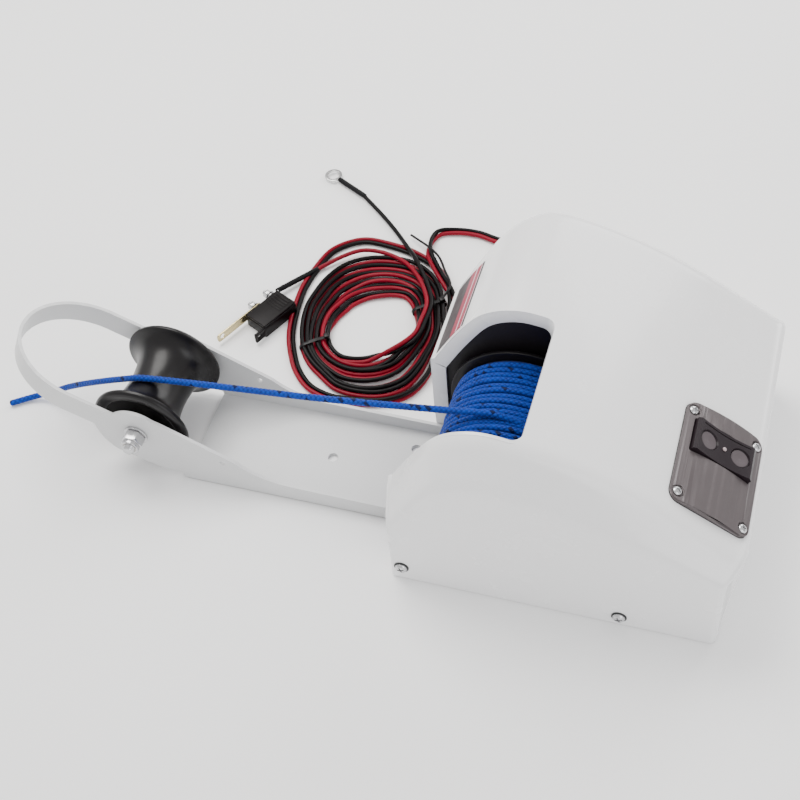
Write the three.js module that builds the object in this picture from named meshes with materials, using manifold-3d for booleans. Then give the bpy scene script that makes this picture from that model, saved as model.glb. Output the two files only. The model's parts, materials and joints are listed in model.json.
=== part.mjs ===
// Electric anchor windlass for a small boat: a moulded cover over a motor-driven rope drum,
// a bent davit bracket with a bow roller and a guard hoop, the anchor rope, and a twin power
// cable that ends in a battery ring and a circuit breaker.
//
// Frame, in millimetres: the origin is on the deck under the drum's axis, midway between the
// davit bracket's two walls. +X points aft, so the bow roller is at -X. +Y points to starboard
// and +Z points up.

import * as THREE from 'three';
import { mergeVertices } from 'three/addons/utils/BufferGeometryUtils.js';
import Module from 'manifold-3d';

const wasm = await Module();
wasm.setup();

// ---------------------------------------------------------------- driving dimensions

const GAP = 0.3;                   // clearance between pieces that touch
const HALF_TURN = Math.PI;

// Davit bracket: one bent sheet
const SHEET = 3;
const BRACKET_HALF = 49;           // half of the width over the two walls
const PLATE_FORE_X = -284;
const PLATE_AFT_X = 176;
const WALL_AFT_X = -69;            // the walls stop just inside the cover
const DECK_HOLE_R = 4.5;
const DECK_HOLES = [[-163, 0], [-94, -26], [-94, 26]];
const RIGGING_HOLE = { x: -244, z: 33, r: 2.6 };

// Guard hoop: a strip swept in a plane that rises towards the bow, with a half-oval end
const HOOP_FOOT = { x: -360, z: 55 };
const HOOP_RISE = Math.atan(0.45);
const HOOP_STRIP = 24;
const HOOP_REACH = 92;
const HOOP_BEND = 64;                 // how far the rounded end reaches along the plane
const HOOP_ROOT = -27;

// Bow roller and its axle
const AXLE = { x: -320, z: 51, r: 5 };
const ROLLER_R = 43;
const ROLLER_WAIST_R = 26;
const ROLLER_HALF = 41;
const HEX_R = 9.8;                 // across the corners of an M10 head or nut, halved

// Drum
const DRUM_Z = 70;
const DRUM_PORT_Y = -71;
const DRUM_STARBOARD_Y = 46;
const DRUM_FLANGE_R = 64;
const DRUM_CORE_R = 38;
const DRUM_SHEET = 3;
const WOUND_R = 60;
const SHAFT_R = 8;

// Cover
const COVER_WALL = 3;
const COVER_FORE_X = -82.6;
const COVER_AFT_FOOT_X = 188;
const COVER_PORT_Y = -102;
const COVER_CREASE_Y = -78;
const COVER_STARBOARD_Y = 173;
const COVER_STARBOARD_FORE_Y = 137;
const SEAT_TOP = { x: 126, z: 132 };
const SEAT_END = { x: 192, z: 91 };
const MOUTH = { port: -73, starboard: 49.5, aft: 24, corner: 9, lip: 2.5 };
const LIP_DEPTH = { x: 9, z: 11 };
const COVER_SCREWS = [
  { x: -69, z: 16, side: -1 }, { x: 109.5, z: 11, side: -1 },
  { x: 22, z: 16, side: 1 }, { x: 109.5, z: 11, side: 1 },
];
const GLAND = { x: 46, z: 22, r: 9 };

// Switch panel, in its own frame on the cover's sloping seat
const PANEL = { half: 36, halfWidth: 47, edge: 2, crown: 4, corner: 9, y: -16.4, aft: 4 };
const SEAT_SLOPE = Math.atan2(SEAT_TOP.z - SEAT_END.z, SEAT_END.x - SEAT_TOP.x);
const PANEL_SCREW = { x: 30, y: 39.2 };
const ROCKER = { y: 16.4, half: 27.4, halfWidth: 15, windowGap: 1.2 };

// Gear train, on the starboard side of the drum
const DRUM_GEAR = { teeth: 40, module: 2.5, y0: 59, y1: 69 };
const IDLER_PINION = { teeth: 12, module: 2.5, y0: 58.5, y1: 72 };
const IDLER_WHEEL = { teeth: 36, module: 1.6, y0: 71, y1: 77 };
const MOTOR_PINION = { teeth: 12, module: 1.6, y0: 70.5, y1: 79 };
const MESH_EASE = 0.15;            // added to each centre distance
const IDLER_DIRECTION = THREE.MathUtils.degToRad(15);
const MOTOR_DIRECTION = THREE.MathUtils.degToRad(-25);
const IDLER_SHAFT_R = 4;
const MOTOR_R = 31;
const MOTOR_SHAFT_R = 4;

// Frame plates that carry the drum and the gear train
const PORT_PLATE = { y0: -79, y1: -76 };
const STARBOARD_PLATE = { y0: 53, y1: 56, foreX: -76, aftX: 112 };
const OUTER_PLATE = { y0: 81, y1: 84 };
const PAN = { z0: 3.3, z1: 5.8, foreX: -73, aftX: 180, portY: -98.5, starboardY: 168.5 };
const FOOT_Z = PAN.z1 + GAP;

// Rope and cables
const ROPE_R = 3;
const CABLE_HALF_WIDTH = 4.6;
const CABLE_HALF_HEIGHT = 2.3;
const LEAD_R = 2.2;
const COIL = { x: -176, y: 159, inner: 38, outer: 73, stretch: 1.16, z0: 1.8, z1: 20 };
const BREAKER = { x: -273, y: 147, turn: THREE.MathUtils.degToRad(64), long: 42, wide: 26, tall: 15 };

// ---------------------------------------------------------------- materials

function finish(color, roughness, metalness = 0) {
  return new THREE.MeshStandardMaterial({ color, roughness, metalness });
}

const finishes = {
  cover: finish(0xf1f2f3, 0.32),
  bracket: finish(0xe6e8ea, 0.38, 0.1),
  frame: finish(0x1d1c20, 0.5, 0.3),
  roller: finish(0x0b0b0c, 0.25),
  drum: finish(0x121214, 0.4),
  rope: finish(0x1450b8, 0.8),
  stainless: finish(0xc9ccd0, 0.22, 1),
  steel: finish(0x9a9da2, 0.35, 1),
  bronze: finish(0xa9814a, 0.4, 1),
  nylon: finish(0xdcd9cf, 0.5),
  panel: finish(0x85807f, 0.35, 0.4),
  rocker: finish(0x1b181b, 0.35),
  lens: finish(0xc8b8b8, 0.15),
  label: finish(0x2a2226, 0.4),
  motor: finish(0x2d3036, 0.4, 0.7),
  copper: finish(0x9c5a34, 0.4, 1),
  board: finish(0x1f5a34, 0.55),
  relay: finish(0x22252b, 0.45),
  rubber: finish(0x101010, 0.75),
  red: finish(0xc3142a, 0.35),
  black: finish(0x141214, 0.35),
  brass: finish(0xc2b27a, 0.3, 1),
  tinned: finish(0xc6c8ca, 0.3, 1),
};

// ---------------------------------------------------------------- geometry helpers

// Makes one closed mesh of shared vertices, with no empty triangles and its faces pointing out.
function closed(source) {
  const positions = new THREE.BufferGeometry();
  positions.setAttribute('position', source.getAttribute('position').clone());
  if (source.index) positions.setIndex(source.index.clone());
  const merged = mergeVertices(positions, 1e-4);
  const at = merged.getAttribute('position');
  const corners = merged.index.array;
  const kept = [];
  let volume = 0;
  const [a, b, c] = [new THREE.Vector3(), new THREE.Vector3(), new THREE.Vector3()];
  for (let i = 0; i < corners.length; i += 3) {
    const [p, q, r] = [corners[i], corners[i + 1], corners[i + 2]];
    if (p === q || q === r || r === p) continue;
    kept.push(p, q, r);
    a.fromBufferAttribute(at, p);
    b.fromBufferAttribute(at, q);
    c.fromBufferAttribute(at, r);
    volume += a.dot(b.cross(c));
  }
  if (volume < 0) {
    for (let i = 0; i < kept.length; i += 3) [kept[i], kept[i + 1]] = [kept[i + 1], kept[i]];
  }
  merged.setIndex(kept);
  return merged;
}

function toSolid(geometry) {
  const mesh = closed(geometry);
  return new wasm.Manifold(new wasm.Mesh({
    numProp: 3,
    vertProperties: new Float32Array(mesh.getAttribute('position').array),
    triVerts: new Uint32Array(mesh.index.array),
  }));
}

function toGeometry(solid) {
  const mesh = solid.getMesh();
  const geometry = new THREE.BufferGeometry();
  geometry.setAttribute('position', new THREE.BufferAttribute(new Float32Array(mesh.vertProperties), 3));
  geometry.setIndex([...mesh.triVerts]);
  return geometry;
}

function join(geometries) {
  return geometries.map(toSolid).reduce((whole, piece) => whole.add(piece));
}

function cut(solid, geometries) {
  return geometries.map(toSolid).reduce((whole, piece) => whole.subtract(piece), solid);
}

function block(x0, x1, y0, y1, z0, z1) {
  const geometry = new THREE.BoxGeometry(x1 - x0, y1 - y0, z1 - z0);
  return geometry.translate((x0 + x1) / 2, (y0 + y1) / 2, (z0 + z1) / 2);
}

function outline(points) {
  return new THREE.Shape(points.map(([u, v]) => new THREE.Vector2(u, v)));
}

function roundedOutline(halfX, halfY, radius) {
  const shape = new THREE.Shape();
  shape.absarc(halfX - radius, halfY - radius, radius, 0, HALF_TURN / 2);
  shape.absarc(radius - halfX, halfY - radius, radius, HALF_TURN / 2, HALF_TURN);
  shape.absarc(radius - halfX, radius - halfY, radius, HALF_TURN, 1.5 * HALF_TURN);
  shape.absarc(halfX - radius, radius - halfY, radius, 1.5 * HALF_TURN, 2 * HALF_TURN);
  return shape;
}

// An outline in the X-Z plane, given thickness along Y.
function acrossY(shape, y0, y1, curveSegments = 8) {
  const settings = { depth: y1 - y0, bevelEnabled: false, curveSegments };
  return new THREE.ExtrudeGeometry(shape, settings).rotateX(HALF_TURN / 2).translate(0, y1, 0);
}

// An outline in the X-Y plane, given thickness along Z.
function alongZ(shape, z0, z1, curveSegments = 6) {
  const settings = { depth: z1 - z0, bevelEnabled: false, curveSegments };
  return new THREE.ExtrudeGeometry(shape, settings).translate(0, 0, z0);
}

// A round bar along Y. Six sides make a hexagon.
function barY(x, z, radius, y0, y1, sides = 20) {
  const geometry = new THREE.CylinderGeometry(radius, radius, y1 - y0, sides);
  return geometry.translate(x, (y0 + y1) / 2, z);
}

function barZ(x, y, radius, z0, z1, sides = 16) {
  const geometry = new THREE.CylinderGeometry(radius, radius, z1 - z0, sides);
  return geometry.rotateX(HALF_TURN / 2).translate(x, y, (z0 + z1) / 2);
}

// A profile of [radius, y] points turned about a line along Y.
function turnedY(profile, x, z, segments = 32) {
  const points = profile.map(([radius, y]) => new THREE.Vector2(radius, y));
  return new THREE.LatheGeometry(points, segments).translate(x, 0, z);
}

function ringY(x, z, inner, outer, y0, y1, segments = 24) {
  const profile = [[inner, y0], [outer, y0], [outer, y1], [inner, y1], [inner, y0]];
  return turnedY(profile, x, z, segments);
}

function section(halfU, halfV, sides) {
  const points = [];
  for (let i = 0; i < sides; i += 1) {
    const angle = (2 * HALF_TURN * i) / sides;
    points.push([halfU * Math.cos(angle), halfV * Math.sin(angle)]);
  }
  return outline(points);
}

function tube(route, halfU, halfV, sides, steps) {
  const path = new THREE.CatmullRomCurve3(route.map((point) => new THREE.Vector3(...point)));
  const settings = { extrudePath: path, steps, bevelEnabled: false };
  return new THREE.ExtrudeGeometry(section(halfU, halfV, sides), settings);
}

// A spur gear's outline with involute flanks, one tooth centred on the given direction.
function gearOutline({ teeth, module }, direction) {
  const pitchR = (teeth * module) / 2;
  const tipR = pitchR + 0.82 * module;
  const rootR = pitchR - 1.15 * module;
  const pressure = THREE.MathUtils.degToRad(20);
  const baseR = pitchR * Math.cos(pressure);
  const involute = (angle) => Math.tan(angle) - angle;
  const backlash = (0.1 * module) / pitchR;
  const halfTooth = (radius) => {
    const angle = Math.acos(Math.min(1, baseR / radius));
    return HALF_TURN / (2 * teeth) + involute(pressure) - involute(angle) - backlash;
  };
  const flank = [Math.max(rootR, baseR), tipR];
  const points = [];
  for (let tooth = 0; tooth < teeth; tooth += 1) {
    const middle = direction + (2 * HALF_TURN * tooth) / teeth;
    const radii = baseR > rootR + 0.1 ? [rootR, ...flank] : flank;
    const rising = radii.map((radius) => [radius, middle - halfTooth(Math.max(radius, baseR))]);
    const falling = radii.map((radius) => [radius, middle + halfTooth(Math.max(radius, baseR))]);
    for (const [radius, angle] of [...rising, ...falling.reverse()]) {
      points.push([radius * Math.cos(angle), radius * Math.sin(angle)]);
    }
  }
  return outline(points);
}

function gear(spec, direction, x, z) {
  return acrossY(gearOutline(spec, direction), spec.y0, spec.y1).translate(x, 0, z);
}

// ---------------------------------------------------------------- scene graph

const windlass = new THREE.Group();

function add(name, shape, material, parent = windlass) {
  const geometry = shape instanceof THREE.BufferGeometry ? closed(shape) : toGeometry(shape);
  geometry.computeVertexNormals();
  const mesh = new THREE.Mesh(geometry, material);
  mesh.name = name;
  parent.add(mesh);
  return mesh;
}

// ---------------------------------------------------------------- davit bracket

function bracketWallOutline() {
  const shape = new THREE.Shape();
  shape.moveTo(WALL_AFT_X, 0);
  shape.lineTo(WALL_AFT_X, 15);
  shape.lineTo(-184, 17.5);
  shape.quadraticCurveTo(-214, 18.5, -232, 36);
  shape.lineTo(-294, 68.5);
  shape.absarc(AXLE.x, AXLE.z, 27.5, THREE.MathUtils.degToRad(50), THREE.MathUtils.degToRad(140));
  shape.lineTo(-359, 57);
  shape.quadraticCurveTo(-358, 36, -345, 24);
  shape.lineTo(-303, 7);
  shape.lineTo(PLATE_FORE_X, 7);
  shape.lineTo(PLATE_FORE_X, 0);
  return shape;
}

// The hoop's band in its own plane: u runs up and forward along the plane, v is Y.
function hoopBand() {
  const bendU = HOOP_REACH - HOOP_BEND;
  const innerHalf = BRACKET_HALF - SHEET;
  const band = new THREE.Shape();
  band.moveTo(HOOP_ROOT, -BRACKET_HALF);
  band.lineTo(0, -BRACKET_HALF);
  band.absellipse(bendU, 0, HOOP_BEND, BRACKET_HALF, -HALF_TURN / 2, HALF_TURN / 2, false, 0);
  band.lineTo(0, BRACKET_HALF);
  band.lineTo(HOOP_ROOT, BRACKET_HALF);
  band.lineTo(HOOP_ROOT, BRACKET_HALF - SHEET);
  band.lineTo(0, BRACKET_HALF - SHEET);
  band.absellipse(bendU, 0, HOOP_BEND - SHEET, innerHalf, HALF_TURN / 2, -HALF_TURN / 2, true, 0);
  band.lineTo(0, SHEET - BRACKET_HALF);
  band.lineTo(HOOP_ROOT, SHEET - BRACKET_HALF);
  const settings = { depth: HOOP_STRIP, bevelEnabled: false, curveSegments: 20 };
  const geometry = new THREE.ExtrudeGeometry(band, settings);
  const forward = new THREE.Vector3(-Math.cos(HOOP_RISE), 0, Math.sin(HOOP_RISE));
  const across = new THREE.Vector3(0, 1, 0);
  const strip = new THREE.Vector3(Math.sin(HOOP_RISE), 0, Math.cos(HOOP_RISE));
  const placed = new THREE.Matrix4().makeBasis(forward, across, strip);
  placed.setPosition(HOOP_FOOT.x, 0, HOOP_FOOT.z);
  return geometry.applyMatrix4(placed);
}

function buildBracket() {
  const inner = BRACKET_HALF - SHEET;
  const shape = join([
    block(PLATE_FORE_X, PLATE_AFT_X, -BRACKET_HALF, BRACKET_HALF, 0, SHEET),
    acrossY(bracketWallOutline(), -BRACKET_HALF, -inner),
    acrossY(bracketWallOutline(), inner, BRACKET_HALF),
    hoopBand(),
  ]);
  const bores = DECK_HOLES.map(([x, y]) => barZ(x, y, DECK_HOLE_R, -1, SHEET + 1));
  bores.push(barY(AXLE.x, AXLE.z, AXLE.r + GAP, -60, 60));
  bores.push(barY(RIGGING_HOLE.x, RIGGING_HOLE.z, RIGGING_HOLE.r, -60, 60, 12));
  add('davit_bracket', cut(shape, bores), finishes.bracket);
}

// ---------------------------------------------------------------- bow roller

function buildRoller() {
  const bore = AXLE.r + 0.4;
  const halfProfile = [
    [ROLLER_R - 5, ROLLER_HALF], [ROLLER_R - 1, ROLLER_HALF - 1.5], [ROLLER_R, ROLLER_HALF - 5],
    [ROLLER_R - 1.8, 35.2], [36.3, 33], [31.4, 28], [29.2, 23.5], [27.7, 18], [26.6, 11], [26.1, 5],
  ];
  const port = halfProfile.map(([radius, y]) => [radius, -y]);
  const starboard = [...halfProfile].reverse();
  const profile = [
    [bore, -ROLLER_HALF], ...port, [ROLLER_WAIST_R, 0], ...starboard,
    [bore, ROLLER_HALF], [bore, -ROLLER_HALF],
  ];
  add('bow_roller', turnedY(profile, AXLE.x, AXLE.z, 28), finishes.roller);

  const inner = BRACKET_HALF - SHEET;
  for (const [name, side] of [['roller_spacer_port', -1], ['roller_spacer_starboard', 1]]) {
    const [y0, y1] = [side * (ROLLER_HALF + GAP), side * (inner - GAP)].sort((a, b) => a - b);
    add(name, ringY(AXLE.x, AXLE.z, AXLE.r + GAP, 9.5, y0, y1, 20), finishes.nylon);
  }

  const headY = BRACKET_HALF + GAP;
  const bolt = join([
    barY(AXLE.x, AXLE.z, AXLE.r, -66, headY + 1),
    barY(AXLE.x, AXLE.z, HEX_R, headY, headY + 6.4, 6),
  ]);
  add('roller_axle_bolt', bolt, finishes.stainless);

  const washerY = -(BRACKET_HALF + GAP);
  add('axle_washer', ringY(AXLE.x, AXLE.z, AXLE.r + GAP, 10.5, washerY - 2, washerY), finishes.stainless);

  const nutY = washerY - 2 - GAP;
  const nut = cut(join([
    barY(AXLE.x, AXLE.z, HEX_R, nutY - 8, nutY, 6),
    barY(AXLE.x, AXLE.z, 7.6, nutY - 10.5, nutY - 7),
  ]), [barY(AXLE.x, AXLE.z, AXLE.r + GAP, -80, -40)]);
  add('axle_lock_nut', nut, finishes.stainless);
}

// ---------------------------------------------------------------- cover

// The cover's two long lines, as [x, z] points from the bow end to the aft end: the crown of the
// main body, and the lower top edge of the port wall. Both have the same number of points.
function splinePoints(points, divisions) {
  const curve = new THREE.SplineCurve(points.map(([x, z]) => new THREE.Vector2(x, z)));
  return curve.getPoints(divisions).map((point) => [point.x, point.y]);
}

const BOW_STATIONS = 18;
const crownLine = [
  ...splinePoints([
    [COVER_FORE_X, 95], [-73, 113], [-59, 137], [-38, 165], [-9, 177],
    [20, 174], [56, 164], [92, 149.5], [SEAT_TOP.x, SEAT_TOP.z],
  ], BOW_STATIONS),
  [(SEAT_TOP.x + SEAT_END.x) / 2, (SEAT_TOP.z + SEAT_END.z) / 2],
  [SEAT_END.x, SEAT_END.z],
  [197, 84],
];
const shoulderLine = [
  ...splinePoints([
    [COVER_FORE_X, 64], [-65, 95], [-52, 117], [-36, 135], [-8, 145],
    [20, 142], [56, 129], [94, 116], [128, 103],
  ], BOW_STATIONS),
  [155, 92.5],
  [180, 82.5],
  [186, 76],
];

// Moves a line of [x, z] points inwards, square to its own direction.
function insetLine(line, distance) {
  return line.map(([x, z], i) => {
    const [x0, z0] = line[Math.max(0, i - 1)];
    const [x1, z1] = line[Math.min(line.length - 1, i + 1)];
    const length = Math.hypot(x1 - x0, z1 - z0);
    return [x + ((z1 - z0) / length) * distance, z - ((x1 - x0) / length) * distance];
  });
}

// The starboard wall swells outwards from the bow end to the drum's axis.
function starboardY(x) {
  const swell = THREE.MathUtils.smoothstep(x, COVER_FORE_X, 0);
  return THREE.MathUtils.lerp(COVER_STARBOARD_FORE_Y, COVER_STARBOARD_Y, swell);
}

function coverSection([crownX, crownZ], [shoulderX, shoulderZ], inset) {
  const footZ = inset > 0 ? -5 : 0;
  const footX = COVER_AFT_FOOT_X - inset;
  const wallY = starboardY(crownX) - inset;
  const swell = THREE.MathUtils.smoothstep(crownX, COVER_FORE_X, 0);
  const edgeR = THREE.MathUtils.lerp(6, 18, swell) - inset;
  const points = [
    [Math.min(shoulderX, footX), COVER_PORT_Y + inset, footZ],
    [shoulderX, COVER_PORT_Y + inset, shoulderZ],
    [crownX, COVER_CREASE_Y + inset * 0.4, crownZ],
  ];
  const EDGE_STEPS = 4;
  for (let i = 0; i <= EDGE_STEPS; i += 1) {
    const angle = (HALF_TURN / 2) * (i / EDGE_STEPS);
    const y = wallY - edgeR + edgeR * Math.sin(angle);
    points.push([crownX, y, crownZ - edgeR + edgeR * Math.cos(angle)]);
  }
  points.push([Math.min(crownX, footX), wallY, footZ]);
  return points;
}

// A closed body through all the cover's sections, its walls moved inwards by the inset.
function coverBody(inset) {
  const crown = insetLine(crownLine, inset);
  const shoulder = insetLine(shoulderLine, inset);
  const sections = crown.map((point, i) => coverSection(point, shoulder[i], inset));
  const count = sections[0].length;
  const index = [];
  for (let s = 0; s + 1 < sections.length; s += 1) {
    for (let i = 0; i < count; i += 1) {
      const [a, b] = [s * count + i, s * count + ((i + 1) % count)];
      index.push(a, b, b + count, a, b + count, a + count);
    }
  }
  const last = (sections.length - 1) * count;
  for (let i = 1; i + 1 < count; i += 1) {
    index.push(0, i + 1, i, last, last + i, last + i + 1);
  }
  const geometry = new THREE.BufferGeometry();
  geometry.setAttribute('position', new THREE.Float32BufferAttribute(sections.flat(2), 3));
  geometry.setIndex(index);
  return toSolid(geometry);
}

// The mouth that shows the drum, seen from above and open towards the bow.
function mouthOutline(margin) {
  const { port, starboard, aft, corner } = MOUTH;
  const radius = corner + margin;
  const shape = new THREE.Shape();
  shape.moveTo(-130, port - margin);
  shape.lineTo(aft - corner, port - margin);
  shape.absarc(aft - corner, port + corner, radius, -HALF_TURN / 2, 0);
  shape.absarc(aft - corner, starboard - corner, radius, 0, HALF_TURN / 2);
  shape.lineTo(-130, starboard + margin);
  return shape;
}

function panelFrame() {
  const frame = new THREE.Group();
  frame.position.set((SEAT_TOP.x + SEAT_END.x) / 2, PANEL.y, (SEAT_TOP.z + SEAT_END.z) / 2);
  frame.rotation.y = SEAT_SLOPE;
  frame.translateX(PANEL.aft);
  frame.updateMatrix();
  return frame;
}

function screwSideY({ x, side }) {
  return side < 0 ? COVER_PORT_Y : starboardY(x);
}

function buildCover() {
  const outer = coverBody(0);
  const lipRegion = outer.subtract(outer.translate(LIP_DEPTH.x, 0, -LIP_DEPTH.z));
  const lipRing = cut(toSolid(alongZ(mouthOutline(MOUTH.lip), 2, 250)), [alongZ(mouthOutline(0), 0, 260)]);
  const shell = outer.subtract(coverBody(COVER_WALL)).add(lipRegion.intersect(lipRing));

  const seat = panelFrame().matrix;
  const onSeat = (geometry) => geometry.applyMatrix4(seat);
  const openings = [
    alongZ(mouthOutline(0), -10, 260),
    onSeat(block(-30.4, 30.4, ROCKER.y - 18, ROCKER.y + 18, -20, 20)),
    barY(GLAND.x, GLAND.z, GLAND.r + GAP, 150, 200),
  ];
  for (const screw of COVER_SCREWS) {
    const y = screwSideY(screw);
    openings.push(barY(screw.x, screw.z, 2.8, y - 8, y + 8, 12));
  }
  for (const [x, y] of panelScrewPlaces()) {
    openings.push(onSeat(barZ(x, y, 2.3, -10, 10, 12)));
  }
  add('housing_cover', cut(shell, openings), finishes.cover);
}

function buildCoverScrews() {
  COVER_SCREWS.forEach((screw, i) => {
    const y = screwSideY(screw);
    const head = screw.side * GAP;
    const profile = [
      [0, head - screw.side * 12], [2.5, head - screw.side * 12], [2.5, head], [5, head],
      [5, head + screw.side * 1.6], [3.4, head + screw.side * 3.4], [0, head + screw.side * 3.4],
    ].map(([radius, offset]) => [radius, y + offset]);
    add(`cover_screw_${i + 1}`, turnedY(profile, screw.x, screw.z, 16), finishes.stainless);
  });
}

// A thin printed strip on the bow slope, between the mouth and the starboard edge.
function buildLabel() {
  const stations = crownLine.filter(([x]) => x > -81.5 && x < -55);
  const strip = [...insetLine(stations, -0.35), ...insetLine(stations, -0.95).reverse()];
  add('label_plate', acrossY(outline(strip), 53, 131), finishes.label);
}

// ---------------------------------------------------------------- switch panel

function panelScrewPlaces() {
  const { x, y } = PANEL_SCREW;
  return [[-x, -y], [x, -y], [x, y], [-x, y]];
}

function panelTopZ(x) {
  return PANEL.edge + PANEL.crown * (1 - (x / PANEL.half) ** 2);
}

function buildSwitch() {
  const frame = panelFrame();
  windlass.add(frame);

  const arch = [[PANEL.half, GAP], [-PANEL.half, GAP]];
  for (let i = 0; i <= 12; i += 1) {
    const x = -PANEL.half + (2 * PANEL.half * i) / 12;
    arch.push([x, panelTopZ(x)]);
  }
  const corners = roundedOutline(PANEL.half, PANEL.halfWidth, PANEL.corner);
  const slab = toSolid(acrossY(outline(arch), -PANEL.halfWidth, PANEL.halfWidth));
  const windowHalf = ROCKER.half + ROCKER.windowGap;
  const windowWide = ROCKER.halfWidth + 0.8;
  const cuts = [block(-windowHalf, windowHalf, ROCKER.y - windowWide, ROCKER.y + windowWide, -9, 20)];
  for (const [x, y] of panelScrewPlaces()) {
    cuts.push(barZ(x, y, 2.3, -5, 12, 12), barZ(x, y, 4.4, 2.6, 12));
  }
  add('switch_panel', cut(slab.intersect(toSolid(alongZ(corners, -1, 20))), cuts), finishes.panel, frame);

  panelScrewPlaces().forEach(([x, y], i) => {
    const profile = [
      [0, -8], [2, -8], [2, 2.9], [4, 2.9], [4, 4.2], [2.7, 5.4], [0, 5.4],
    ];
    const screw = turnedY(profile, 0, 0, 14).rotateX(HALF_TURN / 2).translate(x, y, 0);
    add(`panel_screw_${i + 1}`, screw, finishes.stainless, frame);
  });

  const rockerSide = [
    [-27.4, 0.5], [-12, -1.5], [0, -3], [12, -1.5], [27.4, 0.5],
    [27.4, 7.4], [24.8, 8.8], [12, 7.4], [0, 6.6], [-12, 7.4], [-24.8, 8.8], [-27.4, 7.4],
  ];
  const { y, halfWidth } = ROCKER;
  const dishes = [-14.6, 14.6].map((x) => {
    const dish = new THREE.CylinderGeometry(9, 7.6, 3, 20).rotateX(HALF_TURN / 2);
    return dish.translate(x, y, 7.7);
  });
  const rocker = cut(toSolid(acrossY(outline(rockerSide), y - halfWidth, y + halfWidth)), dishes);
  add('rocker_switch', rocker, finishes.rocker, frame);
  add('indicator_lens', barZ(0, y, 2.2, 6.6 + GAP, 8.1, 14), finishes.lens, frame);

  const tub = cut(toSolid(block(-29.8, 29.8, y - 17.2, y + 17.2, -22, 0)), [
    block(-28.4, 28.4, y - 15.8, y + 15.8, -5, 5),
  ]);
  add('switch_body', tub, finishes.rocker, frame);
}

// ---------------------------------------------------------------- base pan and frame plates

function buildPan() {
  const { z0, z1, foreX, aftX, portY, starboardY: edgeY } = PAN;
  const plan = outline([
    [foreX, portY], [aftX, portY], [aftX, edgeY], [14, edgeY], [-30, 154], [-52, 142], [foreX, 131],
  ]);
  const pieces = [
    alongZ(plan, z0, z1),
    block(-70, PLATE_AFT_X, portY, portY + 2.5, 0, z1),
    block(14, PLATE_AFT_X, edgeY - 2.5, edgeY, 0, z1),
  ];
  const tabHoles = [];
  for (const { x, z, side } of COVER_SCREWS) {
    const [y0, y1] = side < 0 ? [portY, portY + 2.5] : [edgeY - 2.5, edgeY];
    const fore = Math.max(x - 8, foreX);
    pieces.push(block(fore, x + 8, y0, y1, z0, 24));
    tabHoles.push(barY(x, z, 2.8, y0 - 3, y1 + 3, 12));
  }
  const drumWell = block(foreX - 5, 74, -75, 50.2, -5, 20);
  add('base_pan', cut(join(pieces), [drumWell, ...tabHoles]), finishes.frame);
}

function idlerPlace() {
  const reach = ((DRUM_GEAR.teeth + IDLER_PINION.teeth) * DRUM_GEAR.module) / 2 + MESH_EASE;
  return { x: reach * Math.cos(IDLER_DIRECTION), z: DRUM_Z + reach * Math.sin(IDLER_DIRECTION) };
}

function motorPlace() {
  const idler = idlerPlace();
  const reach = ((IDLER_WHEEL.teeth + MOTOR_PINION.teeth) * IDLER_WHEEL.module) / 2 + MESH_EASE;
  return {
    x: idler.x + reach * Math.cos(MOTOR_DIRECTION),
    z: idler.z + reach * Math.sin(MOTOR_DIRECTION),
  };
}

function buildPlates() {
  const bushHole = (y0, y1) => barY(0, DRUM_Z, 11 + GAP, y0 - 2, y1 + 2, 24);

  const portSide = new THREE.Shape();
  portSide.moveTo(-42, FOOT_Z);
  portSide.lineTo(42, FOOT_Z);
  portSide.absarc(0, 78, 34, 0, HALF_TURN);
  const portPlate = cut(join([
    acrossY(portSide, PORT_PLATE.y0, PORT_PLATE.y1),
    block(-42, 42, -94, PORT_PLATE.y1, FOOT_Z, FOOT_Z + 3),
  ]), [bushHole(PORT_PLATE.y0, PORT_PLATE.y1)]);
  add('side_plate_port', portPlate, finishes.frame);

  const { y0, y1, foreX, aftX } = STARBOARD_PLATE;
  const idler = idlerPlace();
  const motor = motorPlace();
  const underCrown = insetLine(crownLine, 7).filter(([x]) => x > foreX + 4 && x < aftX - 2);
  const side = [[aftX, FOOT_Z], [aftX, 128], ...underCrown.reverse(), [foreX, 88], [foreX, FOOT_Z]];
  const starboardPlate = cut(join([
    acrossY(outline(side), y0, y1),
    block(-60, 100, y0, 74, FOOT_Z, FOOT_Z + 3),
  ]), [bushHole(y0, y1), barY(idler.x, idler.z, IDLER_SHAFT_R + GAP, y0 - 2, y1 + 2)]);
  add('side_plate_starboard', starboardPlate, finishes.frame);

  const posts = [[-57, 44], [2, 131], [118, 36]];
  const cover = outline([
    [-66, 34], [128, 26], [128, 106], [60, 128], [12, 140], [-10, 140], [-66, 56],
  ]);
  const outerPlate = cut(toSolid(acrossY(cover, OUTER_PLATE.y0, OUTER_PLATE.y1)), [
    bushHole(OUTER_PLATE.y0, OUTER_PLATE.y1),
    barY(idler.x, idler.z, IDLER_SHAFT_R + GAP, 75, 90),
    barY(motor.x, motor.z, 6.5, 75, 90),
  ]);
  add('gear_plate_outer', outerPlate, finishes.frame);
  posts.forEach(([x, z], i) => {
    const post = barY(x, z, 5, y1 + GAP, OUTER_PLATE.y0 - GAP, 12);
    add(`gear_plate_post_${i + 1}`, post, finishes.steel);
  });
}

// ---------------------------------------------------------------- drum and gear train

function bush(name, seatY, side) {
  const bore = SHAFT_R + GAP;
  const profile = [
    [bore, seatY - side * 3.2], [14, seatY - side * 3.2], [14, seatY - side * GAP],
    [11, seatY - side * GAP], [11, seatY + side * 4], [bore, seatY + side * 4],
    [bore, seatY - side * 3.2],
  ];
  add(name, turnedY(profile, 0, DRUM_Z, 18), finishes.bronze);
}

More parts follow.
